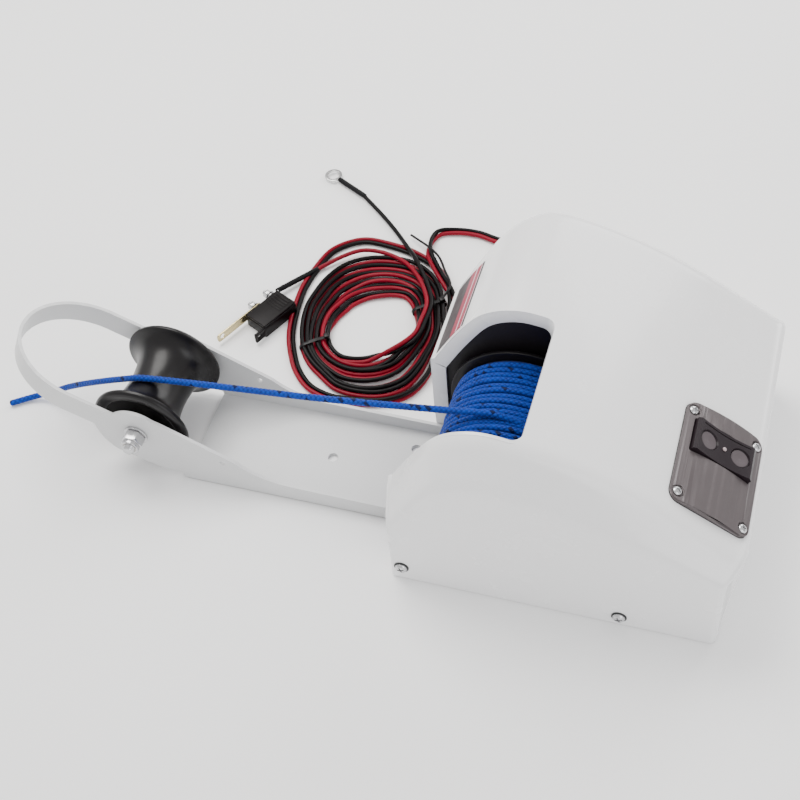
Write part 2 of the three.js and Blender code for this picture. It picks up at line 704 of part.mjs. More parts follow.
function buildDrum() {
  const bore = SHAFT_R + GAP;
  const [port, starboard] = [DRUM_PORT_Y, DRUM_STARBOARD_Y];
  const coreInner = DRUM_CORE_R - DRUM_SHEET;
  const profile = [
    [bore, port], [DRUM_FLANGE_R, port], [DRUM_FLANGE_R, port + DRUM_SHEET],
    [DRUM_CORE_R, port + DRUM_SHEET], [DRUM_CORE_R, starboard - DRUM_SHEET],
    [DRUM_FLANGE_R, starboard - DRUM_SHEET], [DRUM_FLANGE_R, starboard], [coreInner, starboard],
    [coreInner, port + 5], [12, port + 5], [12, starboard], [bore, starboard], [bore, port],
  ];
  add('rope_drum', turnedY(profile, 0, DRUM_Z, 32), finishes.drum);

  const [y0, y1] = [port + DRUM_SHEET + GAP, starboard - DRUM_SHEET - GAP];
  const winding = [
    [DRUM_CORE_R + GAP, y0], [WOUND_R - 3, y0], [WOUND_R, y0 + 5],
    [WOUND_R, y1 - 5], [WOUND_R - 3, y1], [DRUM_CORE_R + GAP, y1], [DRUM_CORE_R + GAP, y0],
  ];
  add('wound_rope', turnedY(winding, 0, DRUM_Z, 32), finishes.rope);

  add('drum_shaft', barY(0, DRUM_Z, SHAFT_R, -84, 88), finishes.steel);
  bush('shaft_bush_port', PORT_PLATE.y1, -1);
  bush('shaft_bush_starboard', STARBOARD_PLATE.y0, 1);
  bush('shaft_bush_outer', OUTER_PLATE.y0, 1);
}

function buildGears() {
  const idler = idlerPlace();
  const motor = motorPlace();
  const drumWheel = cut(toSolid(gear(DRUM_GEAR, IDLER_DIRECTION, 0, DRUM_Z)), [
    barY(0, DRUM_Z, SHAFT_R + GAP, 50, 80, 24),
  ]);
  add('drum_gear', drumWheel, finishes.steel);

  const pinionTooth = IDLER_DIRECTION + HALF_TURN - HALF_TURN / IDLER_PINION.teeth;
  const idlerGear = cut(join([
    gear(IDLER_PINION, pinionTooth, idler.x, idler.z),
    gear(IDLER_WHEEL, MOTOR_DIRECTION, idler.x, idler.z),
  ]), [barY(idler.x, idler.z, IDLER_SHAFT_R + GAP, 50, 90)]);
  add('idler_gear', idlerGear, finishes.steel);
  const idlerShaft = barY(idler.x, idler.z, IDLER_SHAFT_R, STARBOARD_PLATE.y0, OUTER_PLATE.y1, 16);
  add('idler_shaft', idlerShaft, finishes.steel);

  const motorTooth = MOTOR_DIRECTION + HALF_TURN - HALF_TURN / MOTOR_PINION.teeth;
  const pinion = cut(toSolid(gear(MOTOR_PINION, motorTooth, motor.x, motor.z)), [
    barY(motor.x, motor.z, MOTOR_SHAFT_R + GAP, 50, 100),
  ]);
  add('motor_pinion', pinion, finishes.steel);
}

function buildMotor() {
  const { x, z } = motorPlace();
  const front = OUTER_PLATE.y1 + GAP;
  const back = front + 66;
  const can = [
    [6, front], [MOTOR_R, front], [MOTOR_R, back], [MOTOR_R - 2.5, back],
    [MOTOR_R - 2.5, front + 3], [6, front + 3], [6, front],
  ];
  add('motor_can', turnedY(can, x, z, 28), finishes.motor);

  const capY = back + GAP;
  const cap = [
    [MOTOR_SHAFT_R + GAP, capY], [MOTOR_R, capY], [MOTOR_R, capY + 4], [MOTOR_R - 4, capY + 8],
    [9, capY + 8], [9, capY + 11], [MOTOR_SHAFT_R + GAP, capY + 11], [MOTOR_SHAFT_R + GAP, capY],
  ];
  add('motor_end_cap', turnedY(cap, x, z, 28), finishes.relay);

  const armature = [
    [0, MOTOR_PINION.y0 - 1], [MOTOR_SHAFT_R, MOTOR_PINION.y0 - 1], [MOTOR_SHAFT_R, front + 8],
    [25, front + 8], [25, back - 12], [12, back - 10], [12, back - 4], [MOTOR_SHAFT_R, back - 4],
    [MOTOR_SHAFT_R, capY + 9], [0, capY + 9],
  ];
  add('motor_armature', turnedY(armature, x, z, 20), finishes.copper);
}

function buildElectronics() {
  const board = { x0: 100, x1: 172, y0: -80, y1: 10, z0: 14, z1: 15.6 };
  const legs = [];
  for (const x of [board.x0 + 5, board.x1 - 5]) {
    for (const y of [board.y0 + 5, board.y1 - 5]) {
      legs.push(barZ(x, y, 3, FOOT_Z, board.z0 + 1, 10));
    }
  }
  const tray = join([block(board.x0, board.x1, board.y0, board.y1, board.z0, board.z1), ...legs]);
  add('control_board', tray, finishes.board);
  const relayZ = board.z1 + GAP;
  add('up_relay', block(112, 140, -68, -40, relayZ, relayZ + 25), finishes.relay);
  add('down_relay', block(112, 140, -30, -2, relayZ, relayZ + 25), finishes.relay);
}

// ---------------------------------------------------------------- anchor rope

// The rope leaves the top of the winding, runs down to the roller's waist, turns over it and
// drops to the floor, where its cut end lies.
const ROPE_ROUTE = [
  [-12.0, -20.0, 132.2], [-48, -19.4, 125.4], [-107, -18.3, 115.2], [-164, -16.8, 105.6],
  [-220, -14.1, 96.3], [-277, -11.6, 87.2], [-308, -10.6, 82.5], [-318, -10.6, 81.3],
  [-326, -10.9, 80.3], [-334, -10.6, 77.7], [-341, -9.9, 74.0], [-358, -7.6, 64.8],
  [-378, -4.8, 53.4], [-399, -0.5, 39.4], [-418, 3.8, 25.2], [-434, 5.2, 13.8],
  [-448, 3.8, 6.8], [-460, -0.3, 3.7], [-476, -11, 3.3],
];

function buildRope() {
  add('anchor_rope', tube(ROPE_ROUTE, ROPE_R, ROPE_R, 8, 66), finishes.rope);
}

// ---------------------------------------------------------------- power cable and its ends

const CABLE_ROUTE = [
  [46, 190.3, 22], [46, 206, 21.4], [45.5, 222, 15], [43, 238, 6], [34, 255, 2.7],
  [12, 273, 2.6], [-20, 286, 2.6], [-54, 292.5, 2.6], [-87, 294, 2.6], [-108, 299, 2.6],
  [-129, 298, 2.6], [-146, 288, 2.6], [-150.5, 269, 2.6], [-143, 246.5, 2.6],
];
const BLACK_LEAD_ROUTE = [
  [-156, 247, 2.5], [-166, 257, 2.5], [-187, 280, 2.5], [-212, 307, 2.7], [-238, 328, 3.7],
];
const RED_LEAD_ROUTE = [
  [-173, 248.6, 2.5], [-190, 258, 2.5], [-209, 260, 2.5], [-232, 246, 2.5], [-247, 225, 2.8],
  [-252, 217, 3.4],
];

// A point part of the way from one place to another.
function between(from, to, share) {
  return from.map((value, i) => value + (to[i] - value) * share);
}

function sleeve(from, to, inner, outer) {
  const start = new THREE.Vector3(...from);
  const span = new THREE.Vector3(...to).sub(start);
  const profile = [[0, 0], [inner, 0], [outer, 2.5], [outer, span.length() - 3],
    [inner, span.length()], [0, span.length()]];
  const geometry = turnedY(profile, 0, 0, 10);
  const turn = new THREE.Quaternion().setFromUnitVectors(new THREE.Vector3(0, 1, 0), span.normalize());
  return geometry.applyQuaternion(turn).translate(...from);
}

function buildCable() {
  const glandY = COVER_STARBOARD_Y;
  const gland = [
    [5.2, glandY - 8], [GLAND.r, glandY - 8], [GLAND.r, glandY + GAP], [12, glandY + GAP],
    [12, glandY + 4], [8.4, glandY + 6], [7.2, glandY + 17], [5.2, glandY + 17],
    [5.2, glandY - 8],
  ];
  add('cable_gland', turnedY(gland, GLAND.x, GLAND.z, 20), finishes.rubber);
  add('power_cable', tube(CABLE_ROUTE, CABLE_HALF_WIDTH, CABLE_HALF_HEIGHT, 8, 46), finishes.red);

  const { inner, outer, z0, z1 } = COIL;
  const ring = [
    [inner, z0 + 5], [inner + 5, z0], [outer - 5, z0], [outer, z0 + 5], [outer, z1 - 7],
    [outer - 8, z1], [inner + 8, z1], [inner, z1 - 7], [inner, z0 + 5],
  ];
  const coil = turnedY(ring, 0, 0, 36).rotateX(HALF_TURN / 2).scale(1, COIL.stretch, 1);
  add('cable_coil', coil.translate(COIL.x, COIL.y, 0), finishes.red);

  [62, 217].forEach((degrees, i) => {
    const angle = THREE.MathUtils.degToRad(degrees);
    const reach = Math.hypot(Math.cos(angle), COIL.stretch * Math.sin(angle));
    const [r0, r1] = [inner * reach - 1.2, outer * reach + 1.2];
    const tie = cut(toSolid(block(r0 - 1.2, r1 + 1.2, -2, 2, 0.2, z1 + 1.8)), [
      block(r0, r1, -5, 5, 1.2, z1 + 0.6),
    ]);
    const head = toSolid(block(r0 + 12, r0 + 17, -2.6, 2.6, z1 + 1, z1 + 4));
    const loop = toGeometry(tie.add(head));
    loop.rotateZ(Math.atan2(COIL.stretch * Math.sin(angle), Math.cos(angle)));
    add(`cable_tie_${i + 1}`, loop.translate(COIL.x, COIL.y, 0), finishes.black);
  });
}

function buildBlackLead() {
  add('black_lead', tube(BLACK_LEAD_ROUTE, LEAD_R, LEAD_R, 8, 20), finishes.black);
  const end = BLACK_LEAD_ROUTE.at(-1);
  const ringCentre = [-276, 349, 3.6];
  const sleeveStart = between(end, ringCentre, 0.01);
  const sleeveEnd = between(end, ringCentre, 0.62);
  add('black_heat_shrink', sleeve(sleeveStart, sleeveEnd, 2.4, 3.2), finishes.rubber);
  const heading = Math.atan2(ringCentre[1] - end[1], ringCentre[0] - end[0]);
  const tail = ringCentre[0] - sleeveEnd[0];
  const tongue = Math.hypot(tail, ringCentre[1] - sleeveEnd[1]) - GAP;
  const terminal = cut(join([
    barZ(0, 0, 7.5, 2, 3.4, 24),
    block(-tongue, -5, -2.8, 2.8, 2, 3.4),
  ]), [barZ(0, 0, 4.2, 0, 6, 20)]);
  const placed = toGeometry(terminal).rotateZ(heading).translate(ringCentre[0], ringCentre[1], 0);
  add('ring_terminal', placed, finishes.tinned);
}

// The breaker lies on its side, with its two studs pointing away from the coil.
function buildBreaker() {
  add('red_lead', tube(RED_LEAD_ROUTE, LEAD_R, LEAD_R, 8, 22), finishes.red);
  const end = RED_LEAD_ROUTE.at(-1);
  const frame = new THREE.Group();
  frame.position.set(BREAKER.x, BREAKER.y, 0);
  frame.rotation.z = BREAKER.turn;
  frame.updateMatrix();
  windlass.add(frame);

  const { long, wide, tall } = BREAKER;
  const studs = [long / 2 - 6, -5];
  const studZ = tall / 2;
  const body = join([
    block(-long / 2, long / 2, -wide / 2, wide / 2, 0, tall),
    block(-long / 2 - 12, 2 - long / 2, -wide / 2, -wide / 2 + 2.5, 2, tall - 2),
  ]);
  add('circuit_breaker', body, finishes.black, frame);
  studs.forEach((x, i) => {
    const face = wide / 2 + GAP;
    const stud = join([
      barY(0, 0, 2.5, face, face + 13, 12),
      barY(0, 0, 4.6, face + 6.2, face + 10, 6),
    ]).translate([x, 0, studZ]);
    add(`breaker_stud_${i + 1}`, stud, finishes.stainless, frame);
  });

  const strapY = wide / 2 + 2.4;
  const strap = cut(toSolid(block(studs[1] - 56, studs[1] + 6, strapY, strapY + 1.4, studZ - 4.5, studZ + 4.5)), [
    barY(studs[1], studZ, 2.5 + GAP, strapY - 2, strapY + 4, 14),
    barY(studs[1] - 50, studZ, 2.6, strapY - 2, strapY + 4, 14),
  ]);
  add('battery_strap', strap, finishes.brass, frame);

  const lug = new THREE.Vector3(studs[0] + 9, strapY + 3, studZ - 1).applyMatrix4(frame.matrix);
  const lugEnd = [lug.x, lug.y, lug.z];
  add('red_heat_shrink', sleeve(between(end, lugEnd, 0.012), lugEnd, 2.4, 3), finishes.rubber);
}

// ---------------------------------------------------------------- assembly

buildBracket();
buildRoller();
buildCover();
buildCoverScrews();
buildLabel();
buildSwitch();
buildPan();
buildPlates();
buildDrum();
buildGears();
buildMotor();
buildElectronics();
buildRope();
buildCable();
buildBlackLead();
buildBreaker();

export default windlass;
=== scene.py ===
import json
import math
from contextlib import contextmanager

import bmesh
import bpy
import numpy as np
from mathutils import Matrix, Vector

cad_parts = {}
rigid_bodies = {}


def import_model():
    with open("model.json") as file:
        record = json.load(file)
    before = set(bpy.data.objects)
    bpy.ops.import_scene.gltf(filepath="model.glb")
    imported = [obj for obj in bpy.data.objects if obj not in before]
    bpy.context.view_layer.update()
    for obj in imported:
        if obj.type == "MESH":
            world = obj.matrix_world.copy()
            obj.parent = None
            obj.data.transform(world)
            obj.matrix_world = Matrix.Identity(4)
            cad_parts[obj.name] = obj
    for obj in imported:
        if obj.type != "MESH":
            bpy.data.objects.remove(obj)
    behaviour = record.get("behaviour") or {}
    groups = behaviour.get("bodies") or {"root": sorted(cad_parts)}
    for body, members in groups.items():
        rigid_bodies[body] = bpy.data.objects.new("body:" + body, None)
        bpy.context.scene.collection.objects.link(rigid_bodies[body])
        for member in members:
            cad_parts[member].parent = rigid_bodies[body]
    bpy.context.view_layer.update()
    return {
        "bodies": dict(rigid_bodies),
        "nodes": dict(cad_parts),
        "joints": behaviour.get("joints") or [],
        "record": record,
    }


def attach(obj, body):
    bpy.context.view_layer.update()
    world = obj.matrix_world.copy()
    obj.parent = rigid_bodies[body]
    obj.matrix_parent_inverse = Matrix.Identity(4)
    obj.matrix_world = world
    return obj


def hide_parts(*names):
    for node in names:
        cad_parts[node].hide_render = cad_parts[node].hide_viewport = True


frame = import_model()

MM = 0.001


# ---- camera and light

CAMERA_PLACE = (0.17112, -0.67515, 0.98319)  # metres, solved from the photograph's straight edges
CAMERA_TURN = (21.45, 50.54, -6.4)           # azimuth, elevation and roll in degrees
CAMERA_LENS = 63.13                          # mm, on a sensor of 36 mm
LIGHTS = [  # name, place, target, size in metres, power in watts, colour
    ("key", (-0.75, 0.55, 1.6), (0, 0, 0.05), 1.1, 34, (1, 0.985, 0.96)),
    ("fill", (1.3, -1.2, 1.1), (0, 0, 0.05), 1.4, 14, (0.97, 0.98, 1)),
    ("back", (0.5, 1.5, 0.9), (0, 0, 0.1), 1.0, 13, (1, 1, 1)),
]


def link(name, data):
    made = bpy.data.objects.new(name, data)
    bpy.context.scene.collection.objects.link(made)
    return made


def build_camera():
    azimuth, elevation, roll = (math.radians(a) for a in CAMERA_TURN)
    back = Vector((math.sin(azimuth) * math.cos(elevation),
                   -math.cos(azimuth) * math.cos(elevation), math.sin(elevation)))
    right = (-back).cross(Vector((0, 0, 1))).normalized()
    up = right.cross(-back).normalized()
    turned_right = right * math.cos(roll) + up * math.sin(roll)
    turned_up = up * math.cos(roll) - right * math.sin(roll)
    data = bpy.data.cameras.new("camera")
    data.lens, data.sensor_width, data.clip_start = CAMERA_LENS, 36, 0.01
    camera = link("camera", data)
    axes = Matrix((turned_right, turned_up, back)).transposed().to_4x4()
    camera.matrix_world = Matrix.Translation(CAMERA_PLACE) @ axes
    bpy.context.scene.camera = camera


def build_studio():
    world = bpy.data.worlds.new("studio")
    bpy.context.scene.world = world
    world.use_nodes = True
    background = world.node_tree.nodes["Background"].inputs
    background["Color"].default_value = (1.0, 0.99, 0.985, 1)
    background["Strength"].default_value = 1.05
    for name, place, target, size, power, colour in LIGHTS:
        data = bpy.data.lights.new(name, "AREA")
        data.size, data.energy, data.color = size, power, colour
        light = link(name, data)
        light.location = place
        light.rotation_euler = (Vector(target) - Vector(place)).to_track_quat("-Z", "Y").to_euler()


# ---- mesh helpers

def unit(vectors):
    return vectors / np.linalg.norm(vectors, axis=-1, keepdims=True)


def distances(line):
    """How far along the line each of its points lies."""
    return np.concatenate([[0], np.cumsum(np.linalg.norm(np.diff(line, axis=0), axis=1))])


def polar(radius, degrees):
    angle = math.radians(degrees)
    return radius * math.cos(angle), radius * math.sin(angle)


def quadratic(a, b, c, t):
    return (1 - t) ** 2 * a + 2 * t * (1 - t) * b + t * t * c


def turned(axis, degrees):
    return Matrix.Rotation(math.radians(degrees), 4, axis)


def at(x, y, z, turn=Matrix.Identity(4)):
    return Matrix.Translation((x, y, z)) @ turn


TO_PLUS_Y, TO_MINUS_Y = turned("X", -90), turned("X", 90)  # they turn a piece's own Z axis


@contextmanager
def editing(mesh):
    bm = bmesh.new()
    bm.from_mesh(mesh)
    yield bm
    bm.to_mesh(mesh)
    bm.free()


def new_mesh(name, points, faces, uvs=None):
    """A smooth-shaded object from points in millimetres, its faces turned outwards."""
    mesh = bpy.data.meshes.new(name)
    mesh.from_pydata([tuple(c * MM for c in p) for p in points], [], [tuple(f) for f in faces])
    if uvs is not None:
        flat = np.array([uv for face in uvs for uv in face], dtype=np.float32).ravel()
        mesh.uv_layers.new(name="run").data.foreach_set("uv", flat)
    with editing(mesh) as bm:
        bmesh.ops.recalc_face_normals(bm, faces=bm.faces)
    mesh.shade_smooth()
    return link(name, mesh)


def applied(obj):
    """Turns the object's modifiers into mesh."""
    graph = bpy.context.evaluated_depsgraph_get()
    mesh = bpy.data.meshes.new_from_object(obj.evaluated_get(graph))
    old = obj.data
    obj.modifiers.clear()
    obj.data = mesh
    bpy.data.meshes.remove(old)
    return obj


def modified(obj, kind, **settings):
    step = obj.modifiers.new(kind.lower(), kind)
    for key, value in settings.items():
        setattr(step, key, value)
    return applied(obj)


def boolean(obj, cutter, operation="DIFFERENCE"):
    modified(obj, "BOOLEAN", operation=operation, object=cutter, solver="EXACT")
    bpy.data.objects.remove(cutter)


def softened(obj, width, angle=38, segments=2, weighted=False):
    """Rounds the edges sharper than the angle, and keeps flat faces flat."""
    modified(obj, "BEVEL", width=width * MM, segments=segments, limit_method="ANGLE",
             angle_limit=math.radians(angle), harden_normals=False, use_clamp_overlap=True)
    obj.data.shade_smooth()
    obj.data.set_sharp_from_angle(angle=math.radians(42))
    if weighted:
        modified(obj, "WEIGHTED_NORMAL", keep_sharp=True)
    return obj


def joined(name, objects):
    """One object with the meshes of several, each keeping its own material."""
    bm = bmesh.new()
    materials = []
    for obj in objects:
        slots = []
        for material in obj.data.materials:
            if material not in materials:
                materials.append(material)
            slots.append(materials.index(material))
        before = len(bm.faces)
        bm.from_mesh(obj.data)
        bm.faces.ensure_lookup_table()
        for face in bm.faces[before:]:
            if slots:
                face.material_index = slots[min(face.material_index, len(slots) - 1)]
    mesh = bpy.data.meshes.new(name)
    bm.to_mesh(mesh)
    bm.free()
    for material in materials:
        mesh.materials.append(material)
    for obj in objects:
        bpy.data.objects.remove(obj)
    return link(name, mesh)


def filleted(points, radius, steps=4, closed=False):
    """Rounds the corners of a line of 2-D points. radius is one number, or one for each point."""
    points = [np.array(p, float) for p in points]
    count = len(points)
    radii = radius if hasattr(radius, "__len__") else [radius] * count
    out = []
    for i, corner in enumerate(points):
        if not closed and i in (0, count - 1) or radii[i] <= 0:
            out.append(corner)
            continue
        to_before = points[i - 1] - corner
        to_after = points[(i + 1) % count] - corner
        before, after = np.linalg.norm(to_before), np.linalg.norm(to_after)
        reach = min(radii[i], before * 0.48, after * 0.48)
        start, end = corner + to_before / before * reach, corner + to_after / after * reach
        out += [quadratic(start, corner, end, k / steps) for k in range(steps + 1)]
    return out


def grid(rows, columns, loop_rows=False, loop_columns=True):
    """The faces between points that are listed row by row."""
    faces = []
    for i in range(rows if loop_rows else rows - 1):
        a, b = i * columns, (i + 1) % rows * columns
        for k in range(columns if loop_columns else columns - 1):
            m = (k + 1) % columns
            faces.append((a + k, a + m, b + m, b + k))
    return faces


def circle(radius, sides):
    turns = [2 * math.pi * k / sides for k in range(sides)]
    return [(radius * math.cos(turn), radius * math.sin(turn)) for turn in turns]


def lathe(name, profile, segments=72, rounding=0.5, steps=3):
    """A closed profile of (radius, height) turned about the local Z axis."""
    line = [(max(r, 0.0), h) for r, h in filleted(profile, rounding, steps, closed=True)]
    points = [(r * x, r * y, h) for x, y in circle(1, segments) for r, h in line]
    made = new_mesh(name, points, [(p, s, r, q) for p, q, r, s in grid(segments, len(line), True)])
    with editing(made.data) as bm:
        bmesh.ops.remove_doubles(bm, verts=bm.verts, dist=1e-7)
        bmesh.ops.dissolve_degenerate(bm, dist=1e-8, edges=bm.edges)
        bmesh.ops.recalc_face_normals(bm, faces=bm.faces)
    made.data.set_sharp_from_angle(angle=math.radians(40))
    return made


def ring(name, inner, outer, low, high, segments, rounding):
    return lathe(name, [(inner, low), (outer, low), (outer, high), (inner, high)], segments, rounding)


def prism(name, outline, low, high):
    """A 2-D outline given thickness along the local Z axis."""
    n = len(outline)
    points = [(x, y, low) for x, y in outline] + [(x, y, high) for x, y in outline]
    faces = [tuple(range(n)), tuple(range(2 * n - 1, n - 1, -1))]
    faces += [(i, (i + 1) % n, n + (i + 1) % n, n + i) for i in range(n)]
    return new_mesh(name, points, faces)


def rectangle(x0, x1, y0, y1):
    return [(x0, y0), (x1, y0), (x1, y1), (x0, y1)]


def block(name, x0, x1, y0, y1, z0, z1):
    return prism(name, rectangle(x0, x1, y0, y1), z0, z1)


def strip(name, sections, closed=False):
    """A band from four-cornered sections, either closed on itself or with two flat ends."""
    faces = grid(len(sections), 4, closed)
    if not closed:
        last = 4 * (len(sections) - 1)
        faces += [(0, 1, 2, 3), (last, last + 1, last + 2, last + 3)]
    return new_mesh(name, [p for section in sections for p in section], faces)


def placed(obj, matrix):
    """Moves the mesh itself, so that the object stays at the origin."""
    shift = matrix.copy()
    shift.translation = shift.translation * MM
    obj.data.transform(shift)
    obj.data.update()
    return obj


def drilled(obj, radius, sides, low, high, frame=Matrix.Identity(4)):
    """Cuts a round hole along the Z axis of the frame."""
    boolean(obj, placed(prism("hole", circle(radius, sides), low, high), frame))


def rounded_box(half_x, half_y, radius, steps=6):
    corners = [(half_x, half_y), (-half_x, half_y), (-half_x, -half_y), (half_x, -half_y)]
    out = []
    for k, (x, y) in enumerate(corners):
        for s in range(steps + 1):
            dx, dy = polar(radius, 90 * (k + s / steps))
            out.append((x - math.copysign(radius, x) + dx, y - math.copysign(radius, y) + dy))
    return out


def smooth_line(route, step):
    """A centripetal Catmull-Rom line through the points, sampled at an even step, in mm."""
    pts = [np.array(p, float) for p in route]
    pts = [2 * pts[0] - pts[1]] + pts + [2 * pts[-1] - pts[-2]]
    dense = []

    def between(a, b, ta, tb, t):
        return (tb - t) / (tb - ta) * a + (t - ta) / (tb - ta) * b

    for p0, p1, p2, p3 in zip(pts, pts[1:], pts[2:], pts[3:]):
        knots = [0.0]
        for a, b in ((p0, p1), (p1, p2), (p2, p3)):
            knots.append(knots[-1] + max(np.linalg.norm(b - a), 1e-6) ** 0.5)
        t0, t1, t2, t3 = knots
        for t in np.linspace(t1, t2, 24, endpoint=False):
            a1, a2, a3 = between(p0, p1, t0, t1, t), between(p1, p2, t1, t2, t), between(p2, p3, t2, t3, t)
            b1, b2 = between(a1, a2, t0, t2, t), between(a2, a3, t1, t3, t)
            dense.append(between(b1, b2, t1, t2, t))
    dense.append(pts[-2])
    return resampled(np.array(dense), step)


def resampled(line, step):
    along = distances(line)
    count = max(2, int(round(along[-1] / step)) + 1)
    where = np.linspace(0, along[-1], count)
    return np.stack([np.interp(where, along, line[:, k]) for k in range(3)], axis=1)


def tube(name, line, radius, sides=14, relief=None, rounded_end=0.0):
    """A round tube along a line. relief(around, along) gives a share to add to the radius.
    Its UV map holds the turn around the tube and the distance along it in metres."""
    n = len(line)
    tangents = unit(np.gradient(line, axis=0))
    along = distances(line)
    normal = np.cross(tangents[0], [0.0, 0.0, 1.0])
    points = []
    for i in range(n):
        normal = unit(normal - tangents[i] * normal.dot(tangents[i]))
        side = np.cross(tangents[i], normal)
        for k in range(sides):
            turn = k / sides
            r = radius
            if relief is not None:
                r *= 1 + relief(turn, along[i])
            if rounded_end and along[-1] - along[i] < rounded_end:
                left = (along[-1] - along[i]) / rounded_end
                r *= 0.45 + 0.55 * math.sqrt(max(0.0, 1 - (1 - left) ** 2))
            angle = 2 * math.pi * turn
            points.append(line[i] + r * (math.cos(angle) * normal + math.sin(angle) * side))
    faces, uvs = grid(n, sides), []
    for v0, v1 in zip(along * MM, along[1:] * MM):
        uvs += [rectangle(k / sides, (k + 1) / sides, v0, v1) for k in range(sides)]
    for i in (0, n - 1):
        faces.append(tuple(range(i * sides, (i + 1) * sides)))
        uvs.append([(0.5, along[i] * MM)] * sides)
    return new_mesh(name, points, faces, uvs)


# ---- materials

class Shader:
    """A node material, built by calls that return sockets."""

    def __init__(self, name):
        self.material = bpy.data.materials.new(name)
        self.material.use_nodes = True
        self.tree = self.material.node_tree
        self.bsdf = self.tree.nodes["Principled BSDF"]

    def node(self, kind, inputs=(), **settings):
        made = self.tree.nodes.new("ShaderNode" + kind)
        for key, value in settings.items():
            setattr(made, key, value)
        for key, value in dict(inputs).items():
            self.feed(made.inputs[key], value)
        return made

    def feed(self, socket, value):
        if isinstance(value, bpy.types.NodeSocket):
            self.tree.links.new(value, socket)
        elif hasattr(value, "__len__") and socket.type == "RGBA" and len(value) == 3:
            socket.default_value = (*value, 1)
        else:
            socket.default_value = value

    def math(self, operation, a, b=0.0):
        return self.node("Math", {0: a, 1: b}, operation=operation).outputs[0]

    def place(self, scale=(1, 1, 1)):
        coordinates = self.node("TexCoord").outputs["Object"]
        return self.node("Mapping", {"Vector": coordinates, "Scale": scale}).outputs["Vector"]

    def noise(self, scale, detail=3.0, vector=None, rough=0.55):
        where = vector if vector is not None else self.place()
        return self.node("TexNoise", {"Vector": where, "Scale": scale, "Detail": detail,
                                      "Roughness": rough}).outputs["Fac"]

    def span(self, value, low, high, out_low, out_high):
        return self.node("MapRange", {"Value": value, "From Min": low, "From Max": high,
                                      "To Min": out_low, "To Max": out_high}).outputs["Result"]

    def mix(self, share, a, b):
        return self.node("Mix", data_type="RGBA", inputs={0: share, 6: a, 7: b}).outputs[2]

    def set(self, **values):
        for key, value in values.items():
            self.feed(self.bsdf.inputs[key.replace("_", " ")], value)
        return self.material

    def bump(self, height, strength, distance):
        return self.node("Bump", {"Height": height, "Strength": strength,
                                  "Distance": distance}).outputs["Normal"]


def shade(colour, factor):
    return tuple(min(1.0, c * factor) for c in colour)


def plain(name, colour, rough, metallic=0.0, coat=0.0, tint=0.05, grain=900.0, depth=0.00003,
          strength=0.25, streak=None, spread=0.06, sheen=0.0, specular=0.5):
    """Paint, plastic, rubber or metal: a slow change of colour, a fine grain and, on worked metal,
    streaks along one axis."""
    s = Shader(name)
    slow = s.noise(22.0, 4.0)
    fine = s.noise(grain, 3.0)
    base = s.mix(s.span(slow, 0.3, 0.7, 0, 1), shade(colour, 1 - tint), shade(colour, 1 + tint))
    base = s.mix(s.span(fine, 0.35, 0.65, 0, 0.5), base, shade(colour, 1 - tint * 1.5))
    roughness = s.span(slow, 0.3, 0.7, rough - spread, rough + spread)
    height = fine
    if streak is not None:
        lines = s.noise(1.0, 5.0, s.place(streak), 0.7)
        height = s.math("ADD", s.math("MULTIPLY", fine, 0.3), lines)
        roughness = s.math("ADD", roughness, s.span(lines, 0.3, 0.7, -spread, spread))
        base = s.mix(s.span(lines, 0.35, 0.65, 0, 0.6), base, shade(colour, 1 - tint * 2.2))
    return s.set(Base_Color=base, Roughness=roughness, Metallic=metallic, Coat_Weight=coat,
                 Coat_Roughness=0.12, Sheen_Weight=sheen, Specular_IOR_Level=specular,
                 Normal=s.bump(height, strength, depth))


BRAID_PAIRS, BRAID_PITCH = 4, 4.2  # pairs of strands round the rope, and mm along it for each crossing


def braided(name, colour, dark, fleck):
    """Braided rope: crossing strands in relief, with dark tracer dashes among them, and painted shade that
    darkens the hollows between the strands.
    """
    s = Shader(name)
    uv = s.node("UVMap", uv_map="run").outputs["UV"]
    split = s.node("SeparateXYZ", {"Vector": uv})
    turn = s.math("MULTIPLY", split.outputs["X"], BRAID_PAIRS)
    run = s.math("DIVIDE", split.outputs["Y"], BRAID_PITCH * MM)
    right, left = s.math("ADD", turn, run), s.math("SUBTRACT", turn, run)

    def wave(strand):
        return s.math("POWER", s.math("ABSOLUTE", s.math("SINE", s.math("MULTIPLY", strand, math.pi))), 0.6)

    def chance(a, b):
        cell = s.node("CombineXYZ", {0: s.math("FLOOR", a), 1: s.math("FLOOR", b)})
        return s.node("TexWhiteNoise", {"Vector": cell.outputs[0]}).outputs["Value"]

    height = s.math("MULTIPLY", wave(right), wave(left))
    strand = chance(right, left)
    dash = chance(s.math("MULTIPLY", right, 0.5), left)
    fibres = s.noise(1.0, 2.0, s.place((5200, 5200, 5200)))
    # painted shade: the colour goes towards the dark colour in the hollows between the crossing strands,
    # where the relief is low
    base = s.mix(s.span(height, 0.1, 0.8, 0, 1), dark, colour)
    base = s.mix(s.span(strand, 0, 1, 0, 0.45), base, shade(colour, 1.5))
    base = s.mix(s.math("GREATER_THAN", dash, 0.95), base, fleck)
    base = s.mix(s.span(fibres, 0.4, 0.7, 0, 0.25), base, dark)
    relief = s.math("ADD", height, s.math("MULTIPLY", fibres, 0.25))
    return s.set(Base_Color=base, Roughness=s.span(strand, 0, 1, 0.5, 0.72), Sheen_Weight=0.08,
                 Specular_IOR_Level=0.15, Sheen_Roughness=0.4, Normal=s.bump(relief, 0.7, 0.0005))


LABEL_LOW, LABEL_HIGH = 99, 144  # heights in mm that the label's bands are spread over
LABEL_DARK, LABEL_RED, LABEL_WHITE = (0.012, 0.006, 0.009, 1), (0.34, 0.008, 0.045, 1), (0.68, 0.5, 0.55, 1)
LABEL_BANDS = [(0.60, LABEL_RED), (0.78, LABEL_WHITE), (0.82, LABEL_RED), (0.945, LABEL_WHITE),
               (0.965, LABEL_DARK)]


